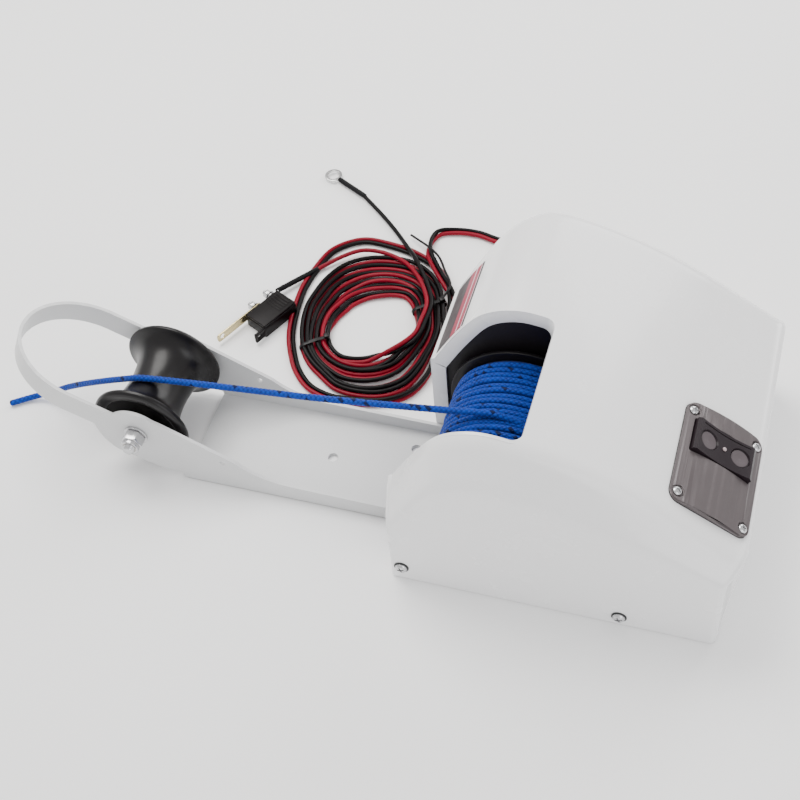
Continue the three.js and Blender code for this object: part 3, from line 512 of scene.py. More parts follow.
def banded_label(name):
    """A dark printed film with red and white bands in its upper part."""
    s = Shader(name)
    split = s.node("SeparateXYZ", {"Vector": s.place()})
    height = s.math("MULTIPLY", split.outputs["Z"], 1000.0)
    ramp = s.node("ValToRGB", {"Fac": s.span(height, LABEL_LOW, LABEL_HIGH, 0, 1)})
    ramp.color_ramp.interpolation = "CONSTANT"
    stops = ramp.color_ramp.elements
    stops[0].color = LABEL_DARK
    stops[1].position, stops[1].color = LABEL_BANDS[0]
    for position, colour in LABEL_BANDS[1:]:
        stops.new(position).color = colour
    fine = s.noise(1500.0, 2.0)
    base = s.mix(s.span(fine, 0.4, 0.7, 0, 0.12), ramp.outputs["Color"], (0.06, 0.05, 0.055))
    return s.set(Base_Color=base, Roughness=s.span(s.noise(60.0), 0.3, 0.7, 0.42, 0.55),
                 Normal=s.bump(fine, 0.15, 0.00002))


def laminate(name):
    """A circuit board: solder mask over copper tracks."""
    s = Shader(name)
    bricks = s.node("TexBrick", {
        "Vector": s.place(), "Scale": 160.0, "Mortar Size": 0.035, "Color1": (0.02, 0.12, 0.05),
        "Color2": (0.03, 0.17, 0.07), "Mortar": (0.06, 0.30, 0.12)})
    return s.set(Base_Color=bricks.outputs["Color"], Roughness=s.span(s.noise(1400.0), 0.3, 0.7, 0.35, 0.5),
                 Normal=s.bump(bricks.outputs["Fac"], 0.4, 0.00008))


M = {
    "cover": plain("cover_gloss", (0.83, 0.83, 0.835), 0.26, coat=0.35, tint=0.012, grain=420.0,
                   depth=0.00004, strength=0.10, spread=0.03),
    "bracket": plain("bracket_powder", (0.60, 0.605, 0.61), 0.38, coat=0.1, tint=0.02, grain=780.0,
                     depth=0.00008, strength=0.35, spread=0.04),
    "roller": plain("roller_moulded", (0.004, 0.003, 0.0036), 0.33, coat=0.04, specular=0.3, tint=0.25,
                    grain=600.0, strength=0.12, streak=(30, 2600, 30), spread=0.05),
    "nylon": plain("nylon", (0.70, 0.68, 0.60), 0.45),
    "stainless": plain("stainless", (0.62, 0.62, 0.63), 0.24, 1.0, tint=0.1, streak=(1500, 90, 1500),
                       strength=0.3, spread=0.08),
    "steel": plain("machined_steel", (0.42, 0.43, 0.45), 0.32, 1.0, tint=0.12, streak=(60, 2200, 60)),
    "bronze": plain("bronze", (0.52, 0.33, 0.14), 0.38, 1.0, tint=0.12, grain=2400.0, strength=0.4),
    "frame": plain("frame_powder", (0.011, 0.009, 0.011), 0.45, tint=0.08, grain=1500.0, depth=0.00004,
                   strength=0.3, specular=0.2),
    "drum": plain("drum_moulded", (0.008, 0.007, 0.008), 0.32, tint=0.12, grain=1100.0, strength=0.3,
                  specular=0.25),
    "label": banded_label("label_film"),
    "panel": plain("panel_metallic", (0.105, 0.090, 0.093), 0.36, 0.45, coat=0.05, grain=3800.0,
                   depth=0.00002, strength=0.4, spread=0.05),
    "rocker": plain("rocker_satin", (0.010, 0.005, 0.008), 0.33, tint=0.15, grain=2100.0, strength=0.3,
                    specular=0.3),
    "paddle": plain("paddle_satin", (0.075, 0.060, 0.066), 0.30, 0.1, tint=0.08, grain=2100.0),
    "lens": plain("lens", (0.36, 0.28, 0.29), 0.12, coat=0.4, tint=0.04),
    "motor": plain("motor_enamel", (0.03, 0.033, 0.04), 0.3, 0.6, tint=0.15, streak=(60, 1500, 60)),
    "relay": plain("relay_moulded", (0.016, 0.018, 0.023), 0.4, tint=0.15, grain=1700.0),
    "copper": plain("copper_winding", (0.55, 0.20, 0.08), 0.33, 0.9, tint=0.15, streak=(1800, 40, 1800),
                    depth=0.0002, strength=0.7),
    "board": laminate("board_laminate"),
    "rubber": plain("rubber_matt", (0.009, 0.009, 0.010), 0.62, tint=0.2, grain=1400.0, depth=0.00008,
                    strength=0.5, sheen=0.2),
    "red": plain("red_insulation", (0.20, 0.001, 0.013), 0.32, tint=0.16, grain=700.0, specular=0.16,
                 depth=0.00006, strength=0.3),
    "black": plain("black_insulation", (0.0025, 0.0014, 0.0018), 0.34, tint=0.25, grain=700.0,
                   specular=0.12, depth=0.00006, strength=0.3),
    "shrink": plain("heat_shrink", (0.005, 0.005, 0.006), 0.46, tint=0.2, specular=0.12, depth=0.00015,
                    strength=0.6),
    "tie": plain("tie_nylon", (0.004, 0.003, 0.004), 0.38, tint=0.2, specular=0.25, streak=(900, 900, 900)),
    "breaker": plain("breaker_moulded", (0.004, 0.0026, 0.003), 0.4, tint=0.2, specular=0.15, grain=1600.0,
                     strength=0.35),
    "brass": plain("brass_strap", (0.62, 0.53, 0.30), 0.27, 1.0, tint=0.1, streak=(1200, 60, 1200)),
    "tinned": plain("tinned_copper", (0.46, 0.46, 0.46), 0.27, 1.0, tint=0.12, grain=1300.0, strength=0.35),
    # a darker blue than the rope: painted shade, seen in the gaps between the wound turns
    "rope_shade": plain("rope_under_painted_shade", (0.002, 0.014, 0.10), 0.8, tint=0.3),
    # the second colour is the painted shade in the hollows between the strands, and also the fibre grain; the
    # third is the tracer dashes
    "rope": braided("rope_braid", (0.003, 0.042, 0.33), (0.001, 0.010, 0.085), (0.001, 0.006, 0.045)),
}
ROOT = "winch_frame"


def painted(obj, material):
    obj.data.materials.clear()
    obj.data.materials.append(M[material])
    return obj


def dress(obj, material, slot, *nodes, body=ROOT):
    """Gives a piece its material and its body, and hides the CAD nodes that it stands for. The slot argument
    is not used.
    """
    if material is not None:
        painted(obj, material)
    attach(obj, body)
    if nodes:
        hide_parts(*nodes)
    return obj


build_camera()


# ---- anchor rope

ROPE_R = 2.75
ROPE_ROUTE = [
    (26, -22, 117.5), (17, -21.4, 123.6), (8, -20.8, 128), (-1, -20.4, 130.9), (-12, -20, 131.9),
    (-48, -19.4, 125.4), (-107, -18.3, 115.2), (-164, -16.8, 105.6), (-220, -14.1, 96.3),
    (-277, -11.6, 87.2), (-308, -10.6, 82.3), (-318, -10.6, 81), (-326, -10.9, 80), (-334, -10.6, 77.4),
    (-341, -9.9, 73.9), (-358, -7.6, 64.8), (-378, -4.8, 53.4), (-399, -0.5, 39.4), (-418, 3.8, 25.2),
    (-434, 5.2, 13.8), (-448, 3.8, 6.8), (-460, -0.3, 3.5), (-476, -11, 3.1),
]


def braid_relief(around, along):
    """Crossing strands in relief on a rope of eight strands."""
    right, left = (BRAID_PAIRS * around + sign * along / BRAID_PITCH for sign in (1, -1))
    return 0.075 * (abs(math.sin(math.pi * right)) * abs(math.sin(math.pi * left)) - 0.35)


def build_rope():
    line = smooth_line(ROPE_ROUTE, 0.9)
    rope = tube("anchor_rope_braid", line, ROPE_R, 16, braid_relief, 1.5)
    dress(rope, "rope", "rope_fibre", "anchor_rope")


# ---- supply cable

CABLE_R = 2.15
CABLE_START = [  # middle of the pair, and the black core's angle about it
    (46, 190.3, 22, 180), (46, 206, 21.4, 180), (45.5, 222, 15, 180), (43, 238, 6, 180), (34, 255, 2.7, 180),
    (12, 273, 2.6, 180), (-20, 286, 2.6, 180), (-54, 292.5, 2.6, 180), (-87, 294, 2.6, 180),
    (-108, 299, 2.6, 180), (-129, 298, 2.8, 175), (-146.5, 291, 3.6, 140), (-150.5, 275, 4.9, 90),
    (-147.5, 259, 6.3, 40), (-139, 245, 7, 15), (-128.5, 231, 7.4, 10), (-117, 217, 7.2, 30),
    (-106, 202, 6.4, 80), (-96, 185, 5, 130), (-88.5, 168, 4.5, 120), (-84, 151, 4.5, 90),
    (-83.5, 138, 4.5, 90), (-86.4, 130.5, 4.5, 90), (-93.7, 127.4, 4.5, 90), (-101, 130.5, 4.5, 90),
    (-103.8, 138, 4.5, 90), (-102.8, 147, 4.5, 90),
]
COIL_CENTRE = (-174.0, 157.0)
INNER_EDGE = [  # degrees from +X, distance of the bundle's inner edge from the coil's centre
    (0, 40), (17, 40), (38, 41), (58, 45.5), (70, 46), (95, 38), (125, 34), (160, 32.5), (185, 37),
    (205, 42), (220, 46), (240, 47.5), (254, 46), (265, 41), (290, 35.5), (316, 35), (343, 38.5), (360, 40),
]
OUTER_EDGE = [  # the bundle's outer edge, in the same way
    (0, 70), (19, 68), (40, 74), (60, 84), (78, 90), (90, 92), (120, 92), (140, 84), (157, 77), (173, 73.5),
    (193, 70), (205, 71), (220, 73.5), (238, 76), (251, 79), (263, 86), (280, 89), (299, 91), (312, 88),
    (322, 82), (342, 72), (360, 70),
]
LOOSE_EDGE = [  # the loose outer loop, in the same way
    (0, 72), (18, 70), (40, 79), (60, 92), (78, 100), (98, 109), (114, 118), (128, 113), (138, 102),
    (152, 91.5), (170, 82), (191, 78), (205, 79.5), (220, 82), (234, 87.5), (246, 92), (258, 93.5),
    (270, 92.5), (284, 94), (299, 95.5), (312, 92), (322, 86.5), (342, 77), (360, 73),
]
PAIR = 2.22  # mm from the middle of the pair to the middle of each core


def edge_at(table, degrees):
    return float(np.interp(degrees % 360, *zip(*table)))


def coil_point(row, degrees, height):
    """A place in the coil. Rows 0 to 5 count outwards through the bundle; row 6 is the loose loop."""
    inner, outer = edge_at(INNER_EDGE, degrees), edge_at(OUTER_EDGE, degrees)
    radius = inner + (outer - inner) / 6 * (row + 0.5)
    if row > 5:
        radius = radius + (edge_at(LOOSE_EDGE, degrees) - radius) * min(1.0, row - 5)
    dx, dy = polar(radius, degrees)
    return COIL_CENTRE[0] + dx, COIL_CENTRE[1] + dy, height


def smoothstep(x, low, high):
    t = min(1.0, max(0.0, (x - low) / (high - low)))
    return t * t * (3 - 2 * t)


def blend(keys, place, column):
    """A value between keys, eased so that it changes gently."""
    for low, high in zip(keys, keys[1:]):
        if place <= high[0]:
            return low[column] + (high[column] - low[column]) * smoothstep(place, low[0], high[0])
    return keys[-1][column]


# The two cores turn about each other. The angle is that of the black core about the pair's
# middle: 0 is to the left of the run, which is inwards in the coil, and 90 is on top.
WINDING_KEYS = [  # turns wound, row, angle
    (0.07, 6, 90), (0.16, 6, 90), (0.30, 6, 0), (0.80, 6, 0), (0.88, 6, 70), (0.97, 5.4, 90), (1.02, 5, 90),
    (1.2, 5, 90), (1.34, 5, 155), (1.48, 5, 95), (1.62, 5, 90), (1.76, 5, 40), (1.86, 5, 35), (2.05, 4, 90),
    (2.34, 4, 165), (2.5, 4, 95), (2.7, 4, 70), (2.84, 4, 130), (3.05, 3, 150), (3.34, 3, 200),
    (3.53, 3, 100), (3.84, 3, 150), (4.05, 2, 110), (4.34, 2, 215), (4.55, 2, 100), (4.84, 2, 50),
    (5.05, 1, 90), (5.34, 1, 190), (5.57, 1, 255), (5.84, 1, 180), (6.04, 0, 90), (6.34, 0, 190),
    (6.56, 0, 120), (6.72, 0, 20), (6.84, 0, 0), (6.95, 0.35, -90), (7.04, 0.8, -180), (7.1, 0.9, -180),
]
LIFT_KEYS = [(6.84, 0), (6.95, 5.2), (7.04, 9.6), (7.1, 9.6)]  # turns wound, lift above the floor
WINDING_START, WINDING_END, WINDING_STEP = 0.09, 7.11, 1 / 24
COIL_TURN = -25  # degrees from +X where the winding begins


def pair_route():
    """The pair's middle line from the gland to the place where the leads part, with its angles."""
    rows = list(CABLE_START)
    for wound in np.arange(WINDING_START, WINDING_END, WINDING_STEP):
        degrees = 360 * wound + COIL_TURN
        row, angle = blend(WINDING_KEYS, wound, 1), blend(WINDING_KEYS, wound, 2)
        row += 0.08 * math.sin(2.6 * wound) + 0.05 * math.sin(math.radians(3 * degrees) + 2 * wound)
        height = CABLE_R + 0.1 + PAIR * abs(math.sin(math.radians(angle))) + blend(LIFT_KEYS, wound, 1)
        rows.append((*coil_point(row, degrees, height), angle))
    return np.array(rows)


def core_routes():
    """The black core's and the red core's routes, on opposite sides of the pair's middle line."""
    rows = pair_route()
    heading = unit(np.gradient(rows[:, :3], axis=0)[:, :2])
    left = np.stack([-heading[:, 1], heading[:, 0]], axis=1)
    angle = np.radians(rows[:, 3])
    out = []
    for sign in (1, -1):
        core = rows[:, :3].copy()
        core[:, :2] += left * (sign * PAIR * np.cos(angle))[:, None]
        core[:, 2] += sign * PAIR * np.sin(angle)
        out.append([tuple(p) for p in core])
    return out


def cable(name, route, colour, nodes, **facts):
    line = smooth_line(route, 2.6)
    core = tube(name, line, CABLE_R, 12)
    dress(core, colour, colour + "_insulation", *nodes)


RED_END = [
    (-129.5, 186, 12.2), (-134.5, 200, 11.8), (-143, 214.5, 11), (-154, 228.5, 9.6), (-167, 240, 7.8),
    (-182, 247.5, 6.4), (-198, 250.5, 6.2), (-214, 248, 6.6), (-229, 238.5, 5.6), (-241, 227, 4.2),
    (-251, 215.5, 3.6),
]
BLACK_END = [
    (-125.5, 189, 12.2), (-131, 203, 11.8), (-139.5, 218.5, 11.4), (-150, 234, 11.4), (-161, 249.5, 9.8),
    (-172, 263.5, 6), (-185, 279.5, 3), (-199, 294, 2.6), (-213, 307, 2.7), (-238, 328, 3.6),
]


# ---- pieces on the leads

RING_CENTRE = (-278, 351, 3.0)
RING_LOW, RING_HIGH = 2.4, 3.6
LEAD_LUG_X, STUD_X, STRAP_LENGTH = 15.0, -5.0, 51  # along the breaker
SIDE_Z = 7.5  # height of the breaker's terminals
BREAKER = at(-273, 147, 0, turned("Z", 64))
BREAKER_SIDE = BREAKER @ at(0, 0, SIDE_Z, TO_PLUS_Y)


def sleeve(name, start, end, radius):
    """Heat-shrink tube between two points, tighter at its ends, with soft rings."""
    a, b = np.array(start, float), np.array(end, float)
    length = float(np.linalg.norm(b - a))
    line = a + (b - a) * np.linspace(0, 1, 36)[:, None]

    def relief(around, along):
        share = along / length
        ends = min(1.0, share / 0.1, (1 - share) / 0.12)
        return -0.1 * (1 - ends) + 0.02 * math.sin(along * 1.1 + 2 * math.sin(6.28 * around))

    return dress(tube(name, line, radius, 18, relief), "shrink", "black_insulation")


def toward(start, end, share):
    return tuple(np.array(start) + (np.array(end) - np.array(start)) * share)


def phillips_head(name, radius, height, shank, length):
    """A pan head with a cross recess, its bearing face at local Z = 0, and its shank below."""
    head = lathe(name, [(0, 0), (radius, 0), (radius, height * 0.35), (radius * 0.72, height * 0.86),
                        (radius * 0.35, height), (0, height)], 40, 0.5)
    long, wide = radius * 0.62, radius * 0.13
    for turn in (0, 90):
        arm = block("arm", -long, long, -wide, wide, height * 0.36, height + 1)
        boolean(head, placed(arm, turned("Z", turn + 20)))
    softened(head, 0.12, 50, 1)
    stem = lathe("stem", [(0, -length), (shank * 0.7, -length), (shank, -length + 1), (shank, 0.2), (0, 0.2)],
                 20, 0.2)
    return joined(name, [head, stem])


def threaded(name, radius, low, high, pitch):
    """A threaded rod along local Z."""
    profile = [(0, low), (radius * 0.8, low)]
    z = low + 0.6
    while z < high - 0.8:
        profile += [(radius * 0.9, z), (radius, z + pitch * 0.5)]
        z += pitch
    profile += [(radius * 0.82, high), (0, high)]
    return lathe(name, profile, 28, 0.0)


def hex_nut(name, radius, bore, low, high):
    """A chamfered hexagon nut along local Z."""
    body = prism(name, circle(radius, 6), low, high)
    flat = radius * math.cos(math.pi / 6)
    slant = (radius - flat) * 0.6
    crown = lathe("crown", [(0, low), (flat * 0.98, low), (radius * 1.01, low + slant),
                            (radius * 1.01, high - slant), (flat * 0.98, high), (0, high)], 60, 0.0)
    boolean(body, crown, "INTERSECT")
    drilled(body, bore, 32, low - 2, high + 2)
    return softened(body, 0.25, 25, 2)


def build_black_end():
    """The black lead's sleeve and ring terminal. The terminal is made at the origin, with its lead
    coming from -X."""
    end = BLACK_END[-1]
    start, stop = (toward(end, RING_CENTRE, share) for share in (-0.06, 0.8))
    cover = sleeve("black_lead_shrink", start, stop, 2.7)
    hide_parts("black_heat_shrink")
    dx, dy = RING_CENTRE[0] - end[0], RING_CENTRE[1] - end[1]
    reach = math.hypot(dx, dy) * 0.4
    plate = prism("plate", circle(9.0, 56), RING_LOW, RING_HIGH)
    outline = filleted([(-reach, -1.9), (-7, -2.6), (-7, 2.6), (-reach, 1.9)], 0.6, 3, True)
    boolean(plate, prism("tongue", outline, RING_LOW, RING_HIGH), "UNION")
    drilled(plate, 6.0, 48, 0, 6)
    softened(plate, 0.3, 40, 2)
    barrel = placed(ring("barrel", 1.2, 2.1, -reach - 3, -12, 24, 0.3), at(0, 0, 3.1, turned("Y", 90)))
    terminal = joined("ring_terminal_lug", [plate, barrel])
    placed(terminal, at(*RING_CENTRE[:2], 0, turned("Z", math.degrees(math.atan2(dy, dx)))))
    return [cover, dress(terminal, "tinned", "tinned_copper", "ring_terminal")]


def build_red_end():
    """The red lead's sleeve, the circuit breaker, its two studs, its strap and the lead's lug."""
    lug = BREAKER @ Vector((LEAD_LUG_X + 9, 18.4, 6.5))
    cover = sleeve("red_lead_shrink", toward(RED_END[-1], lug, -0.05), tuple(lug), 2.6)
    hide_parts("red_heat_shrink")

    shell = softened(prism("breaker_shell", rounded_box(21, 13, 1.2, 4), 0, 12.2), 0.8, 40, 3)
    lid = softened(prism("lid", rounded_box(20.6, 12.6, 1.2, 4), 12.3, 15), 0.7, 40, 3)
    rim = prism("rim", rounded_box(20.2, 12.2, 1.0, 4), 12.0, 12.5)
    foot = softened(block("foot", -33, -19, -13, -10.5, 2, 13), 0.7, 40, 3)
    boolean(foot, placed(prism("slot", rounded_box(3, 1.9, 1.8), -8, 8), at(-28, -12, 7.5, TO_MINUS_Y)))
    ribs = [softened(block("rib", x, x + 1.4, -9, 9, 14.4, 15.5), 0.25) for x in (3, 6.2, 9.4, 12.6, 15.8)]
    body = placed(joined("breaker_body", [shell, lid, rim, foot, *ribs]), BREAKER)
    pieces = [cover, dress(body, "breaker", "breaker_plastic", "circuit_breaker")]

    for number, x in enumerate((LEAD_LUG_X, STUD_X), 1):
        parts = [threaded("rod", 2.5, 13.3, 26.2, 0.8), hex_nut("nut", 4.6, 2.5, 19.5, 23.2),
                 ring("washer", 2.7, 5.2, 17.6, 18.5, 32, 0.2), ring("spring", 2.7, 4.3, 18.6, 19.5, 32, 0.2),
                 hex_nut("base_nut", 4.4, 2.5, 13.3, 15.2)]
        stud = placed(joined(f"breaker_terminal_{number}", parts), BREAKER_SIDE @ at(x, 0, 0))
        pieces.append(dress(stud, "stainless", "stainless", f"breaker_stud_{number}"))

    bar = filleted(rectangle(STUD_X - STRAP_LENGTH, STUD_X + 6, -4.5, 4.5), 3.2, 5, True)
    strap = prism("strap_bar", bar, 15.4, 16.8)
    for x in (STUD_X, STUD_X - 45):
        drilled(strap, 2.7, 28, 10, 22, at(x, 0, 0))
    placed(softened(strap, 0.25, 40, 2), BREAKER_SIDE)
    pieces.append(dress(strap, "brass", "brass_strap", "battery_strap"))

    eye = placed(prism("lug_eye", circle(4.6, 36), 15.5, 16.6), at(LEAD_LUG_X, 0, 0))
    far = LEAD_LUG_X + 9.5
    neck = [(LEAD_LUG_X, -2.2), (far, -1.8), (far, 1.8), (LEAD_LUG_X, 2.2)]
    boolean(eye, prism("neck", neck, 15.5, 16.6), "UNION")
    drilled(eye, 2.7, 28, 10, 22, at(LEAD_LUG_X, 0, 0))
    placed(softened(eye, 0.2), BREAKER_SIDE)
    return pieces + [dress(eye, "tinned", "tinned_copper")]


TIE_ANGLES = (36, 217)  # degrees from +X, seen from the coil's centre
TIE_SECTION = ((-1.8, 0), (1.8, 0), (1.8, 0.9), (-1.8, 0.9))


def build_ties():
    """Two nylon ties round the coil's bundle, each with its head. The first keeps its long tail."""
    pieces = []
    for number, degrees in enumerate(TIE_ANGLES, 1):
        outward = np.array([*polar(1, degrees), 0.0])
        across = np.array([-outward[1], outward[0], 0.0])
        inner, outer = edge_at(INNER_EDGE, degrees) - 1.2, edge_at(OUTER_EDGE, degrees) + 0.2
        low = np.array([*COIL_CENTRE, 0.0]) + outward * inner
        wide = outer - inner
        outline = filleted([(0, 1.4), (wide, 1.4), (wide, 6.4), (wide - 3.5, 9.3), (3.5, 9.3), (0, 6.4)],
                           2.2, 6, True)
        loop = resampled(np.array([low + outward * u + (0, 0, z) for u, z in outline + outline[:1]]), 1.0)
        middle = low + outward * wide / 2 + (0, 0, 5.2)
        sections = []
        for p in loop[:-1]:
            out = p - middle
            out = unit(out - across * out.dot(across))
            sections.append([p + across * w + out * t for w, t in TIE_SECTION])
        band = softened(strip("band", sections, True), 0.2, 50, 1)
        head = softened(block("head", -2.6, 2.6, -2.5, 2.5, 0, 3.6), 0.6)
        spot = low + outward * (wide - 3.4 if number == 1 else 2.4)
        parts = [band, placed(head, at(spot[0], spot[1], 8.6, turned("Z", degrees)))]
        if number == 1:
            route = [spot + (0, 0, 11.0), spot + (2.5, 8, 13.0), (-114, 215, 13.8), (-124.5, 233, 13.6),
                     (-136, 252, 11.0), (-149, 264.5, 8.5), (-173, 281, 5.0)]
            parts.append(tube("tail", smooth_line(route, 1.5), 1.2, 8))
        pieces.append(dress(joined(f"coil_tie_{number}", parts), "tie", "tie_nylon", f"cable_tie_{number}"))
    return pieces


def build_cables():
    black_pieces, red_pieces = build_black_end(), build_red_end() + build_ties()
    black_route, red_route = core_routes()
    cable("red_core", red_route + RED_END, "red", ["power_cable", "cable_coil", "red_lead"],
          far_end="fitting", with_pieces=red_pieces)
    cable("black_core", black_route + BLACK_END, "black", ["black_lead"],
          far_end="connector", with_pieces=black_pieces)


build_rope()
build_cables()


# ---- housing cover

CROWN = [
    (-82.6, 95), (-73, 113), (-59, 137), (-38, 165), (-9, 177), (20, 174), (56, 164), (92, 149.5),
    (126, 132),
]
SHOULDER = [
    (-82.6, 64), (-65, 95), (-52, 117), (-36, 135), (-8, 145), (20, 142), (56, 129), (94, 116), (128, 103),
]
PORT_Y, CREASE_Y, FRONT_X = -102.0, -78.0, -82.6
PANEL_TOP, PANEL_FOOT = (126, 132), (190.5, 92)  # the seat's upper and lower ends, in X and Z
COVER_WALL = 3
MOUTH_PORT, MOUTH_STARBOARD, MOUTH_AFT, MOUTH_CORNER = -73.0, 49.5, 24.0, 9.0
MOUTH_ARC_X = MOUTH_AFT - MOUTH_CORNER
LIP_SECTION = ((0.9, -0.05), (0.9, 2.6), (13.0, 2.6), (13.0, -0.05))  # depth and distance outwards
PANEL_FRAME = at(162.4, -16.4, 109.39, Matrix.Rotation(math.atan2(41, 66), 4, "Y"))
PANEL_SCREWS = [(-30, -39.2), (30, -39.2), (30, 39.2), (-30, 39.2)]
ROCKER_Y = 16.4
COVER_SCREWS = [(-69, 16, -1), (109.5, 11, -1), (22, 16, 1), (109.5, 11, 1)]  # X, Z, side
GLAND_AXIS = at(46, 0, 22, TO_PLUS_Y)


def spline(points, count):
    """A uniform Catmull-Rom line through 2-D points."""
    pts = np.array(points, float)
    last = len(pts) - 1
    out = []
    for t in np.linspace(0, last, count):
        i = min(int(t), last - 1)
        u = t - i
        p0, p1, p2, p3 = pts[max(i - 1, 0)], pts[i], pts[i + 1], pts[min(i + 2, last)]
        out.append(0.5 * (2 * p1 + (p2 - p0) * u + (2 * p0 - 5 * p1 + 4 * p2 - p3) * u * u
                          + (3 * p1 - p0 - 3 * p2 + p3) * u ** 3))
    return np.array(out)


def starboard_y(x):
    return 137 + 36 * smoothstep(x, FRONT_X, 0)


def wall_y(x, side):
    return PORT_Y if side < 0 else starboard_y(x)


def cover_lines():
    """The crown and the shoulder as matching lines, with an even run down the switch panel's seat."""
    crown, shoulder = spline(CROWN, 104), spline(SHOULDER, 104)
    keep = crown[:, 0] > -79.1
    seat = np.array(PANEL_TOP) + np.linspace(0, 1, 24)[1:, None] * (np.array(PANEL_FOOT) - PANEL_TOP)
    steps = np.linspace(0, 2, 24)[1:]
    knees = np.array([[128, 103], [155, 92.5], [180, 82.5]])
    shoulder_seat = np.stack([np.interp(steps, [0, 1, 2], knees[:, k]) for k in (0, 1)], axis=1)
    crown, shoulder = np.vstack([crown[keep], seat]), np.vstack([shoulder[keep], shoulder_seat])
    for _ in range(14):
        for line in (crown, shoulder):
            line[1:-1] = 0.25 * line[:-2] + 0.5 * line[1:-1] + 0.25 * line[2:]
    return crown, shoulder


CROWN_LINE, SHOULDER_LINE = cover_lines()


def crown_height(x):
    return float(np.interp(x, CROWN_LINE[:, 0], CROWN_LINE[:, 1]))


def cover_section(crown, shoulder):
    x, z = crown
    wall = starboard_y(x)
    foot_x = x - 9 * min(1.0, max(0.0, (x - 126) / 71))
    edge = 6 + 12 * smoothstep(x, FRONT_X, 0)
    corners = [(min(shoulder[0], 183), PORT_Y, 0), (shoulder[0], PORT_Y, shoulder[1]), (x, CREASE_Y, z),
               (x, wall, z), (foot_x, wall, 0)]
    return np.array(filleted(corners, [0, 9, 10, edge, 0], 6))


def inset_section(section, distance, shift):
    """The section moved inwards in its own plane, and along X."""
    flat = section[:, 1:]
    ahead = np.roll(flat, -1, axis=0) - flat
    ahead[-1] = flat[-1] - flat[-2]
    behind = flat - np.roll(flat, 1, axis=0)
    behind[0] = ahead[0]
    along = unit(ahead) + unit(behind)
    moved = section.copy()
    moved[:, 1:] += unit(np.stack([along[:, 1], -along[:, 0]], axis=1)) * distance
    moved[0, 2] = moved[-1, 2] = 0
    moved[:, 0] += shift
    return moved


def cover_shell():
    sections = [cover_section(c, s) for c, s in zip(CROWN_LINE, SHOULDER_LINE)]
    turns = np.linspace(0, math.pi / 2, 7)[1:]
    before, after = [[inset_section(end, r * (1 - math.cos(a)), side * r * math.sin(a)) for a in turns]
                     for end, r, side in ((sections[0], 3.5, -1), (sections[-1], 6, 1))]
    sections = before[::-1] + sections + after
    count = len(sections[0])
    points = [tuple(p) for s in sections for p in s]
    faces = grid(len(sections), count, loop_columns=False)
    for base in (0, (len(sections) - 1) * count):
        feet = []
        foot_a, foot_b = np.array(points[base]), np.array(points[base + count - 1])
        for i in range(1, count - 1):
            y = points[base + i][1]
            share = (y - foot_a[1]) / (foot_b[1] - foot_a[1])
            feet.append(len(points))
            points.append((foot_a[0] + (foot_b[0] - foot_a[0]) * share, y, 0.0))
        for k, i in enumerate(range(1, count - 2)):
            faces.append((base + i, base + i + 1, feet[k + 1], feet[k]))
        faces.append((base, base + 1, feet[0]))
        faces.append((base + count - 1, feet[-1], base + count - 2))
    shell = new_mesh("housing_cover_shell", points, faces)
    with editing(shell.data) as bm:
        bmesh.ops.remove_doubles(bm, verts=bm.verts, dist=2e-5)
        bmesh.ops.recalc_face_normals(bm, faces=bm.faces)
        top = max(bm.faces, key=lambda f: f.calc_center_median().z)
        if top.normal.z < 0:
            bmesh.ops.reverse_faces(bm, faces=bm.faces)
    return modified(shell, "SOLIDIFY", thickness=COVER_WALL * MM, offset=-1, use_even_offset=True,
                    use_quality_normals=True)


def mouth_outline():
    """The mouth seen from above, from its port edge round its aft end to its starboard edge."""
    out = [(-140.0, MOUTH_PORT)]
    for y, start in ((MOUTH_PORT + MOUTH_CORNER, -90), (MOUTH_STARBOARD - MOUTH_CORNER, 0)):
        for k in range(13):
            dx, dy = polar(MOUTH_CORNER, start + 7.5 * k)
            out.append((MOUTH_ARC_X + dx, y + dy))
    return out + [(-140.0, MOUTH_STARBOARD)]


def mouth_lip():
    """The mouth's turned-in edge: a strip that follows the cover's surface round the opening."""
    side = [(FRONT_X, 0.5)] + [(FRONT_X, z) for z in np.linspace(6, 94, 16)] + [(FRONT_X + 1.2, 97.3)]
    side = np.array(side + [tuple(CROWN_LINE[0])] + [tuple(p) for p in CROWN_LINE[1:] if p[0] < MOUTH_ARC_X])
    slope = unit(np.gradient(side, axis=0))
    edges = [((x, z), (slope_z, 0, -slope_x)) for (x, z), (slope_x, slope_z) in zip(side, slope)]
    rail = [((x, MOUTH_PORT, z), inward, (0, -1, 0)) for (x, z), inward in edges]
    for x, y in mouth_outline()[1:-1]:
        ahead = crown_height(x + 1) - crown_height(x - 1)
        centre_y = MOUTH_PORT + MOUTH_CORNER if y < 0 else MOUTH_STARBOARD - MOUTH_CORNER
        away = unit(np.array([x - MOUTH_ARC_X, y - centre_y, (x - MOUTH_ARC_X) * ahead / 2]))
        rail.append(((x, y, crown_height(x)), unit(np.array([ahead, 0, -2.0])), away))
    rail += [((x, MOUTH_STARBOARD, z), inward, (0, 1, 0)) for (x, z), inward in edges[::-1]]
    sections = [[np.array(p) + np.array(inward) * depth + np.array(away) * out for depth, out in LIP_SECTION]
                for p, inward, away in rail]
    return softened(strip("mouth_lip", sections), 0.5, 50, 2)


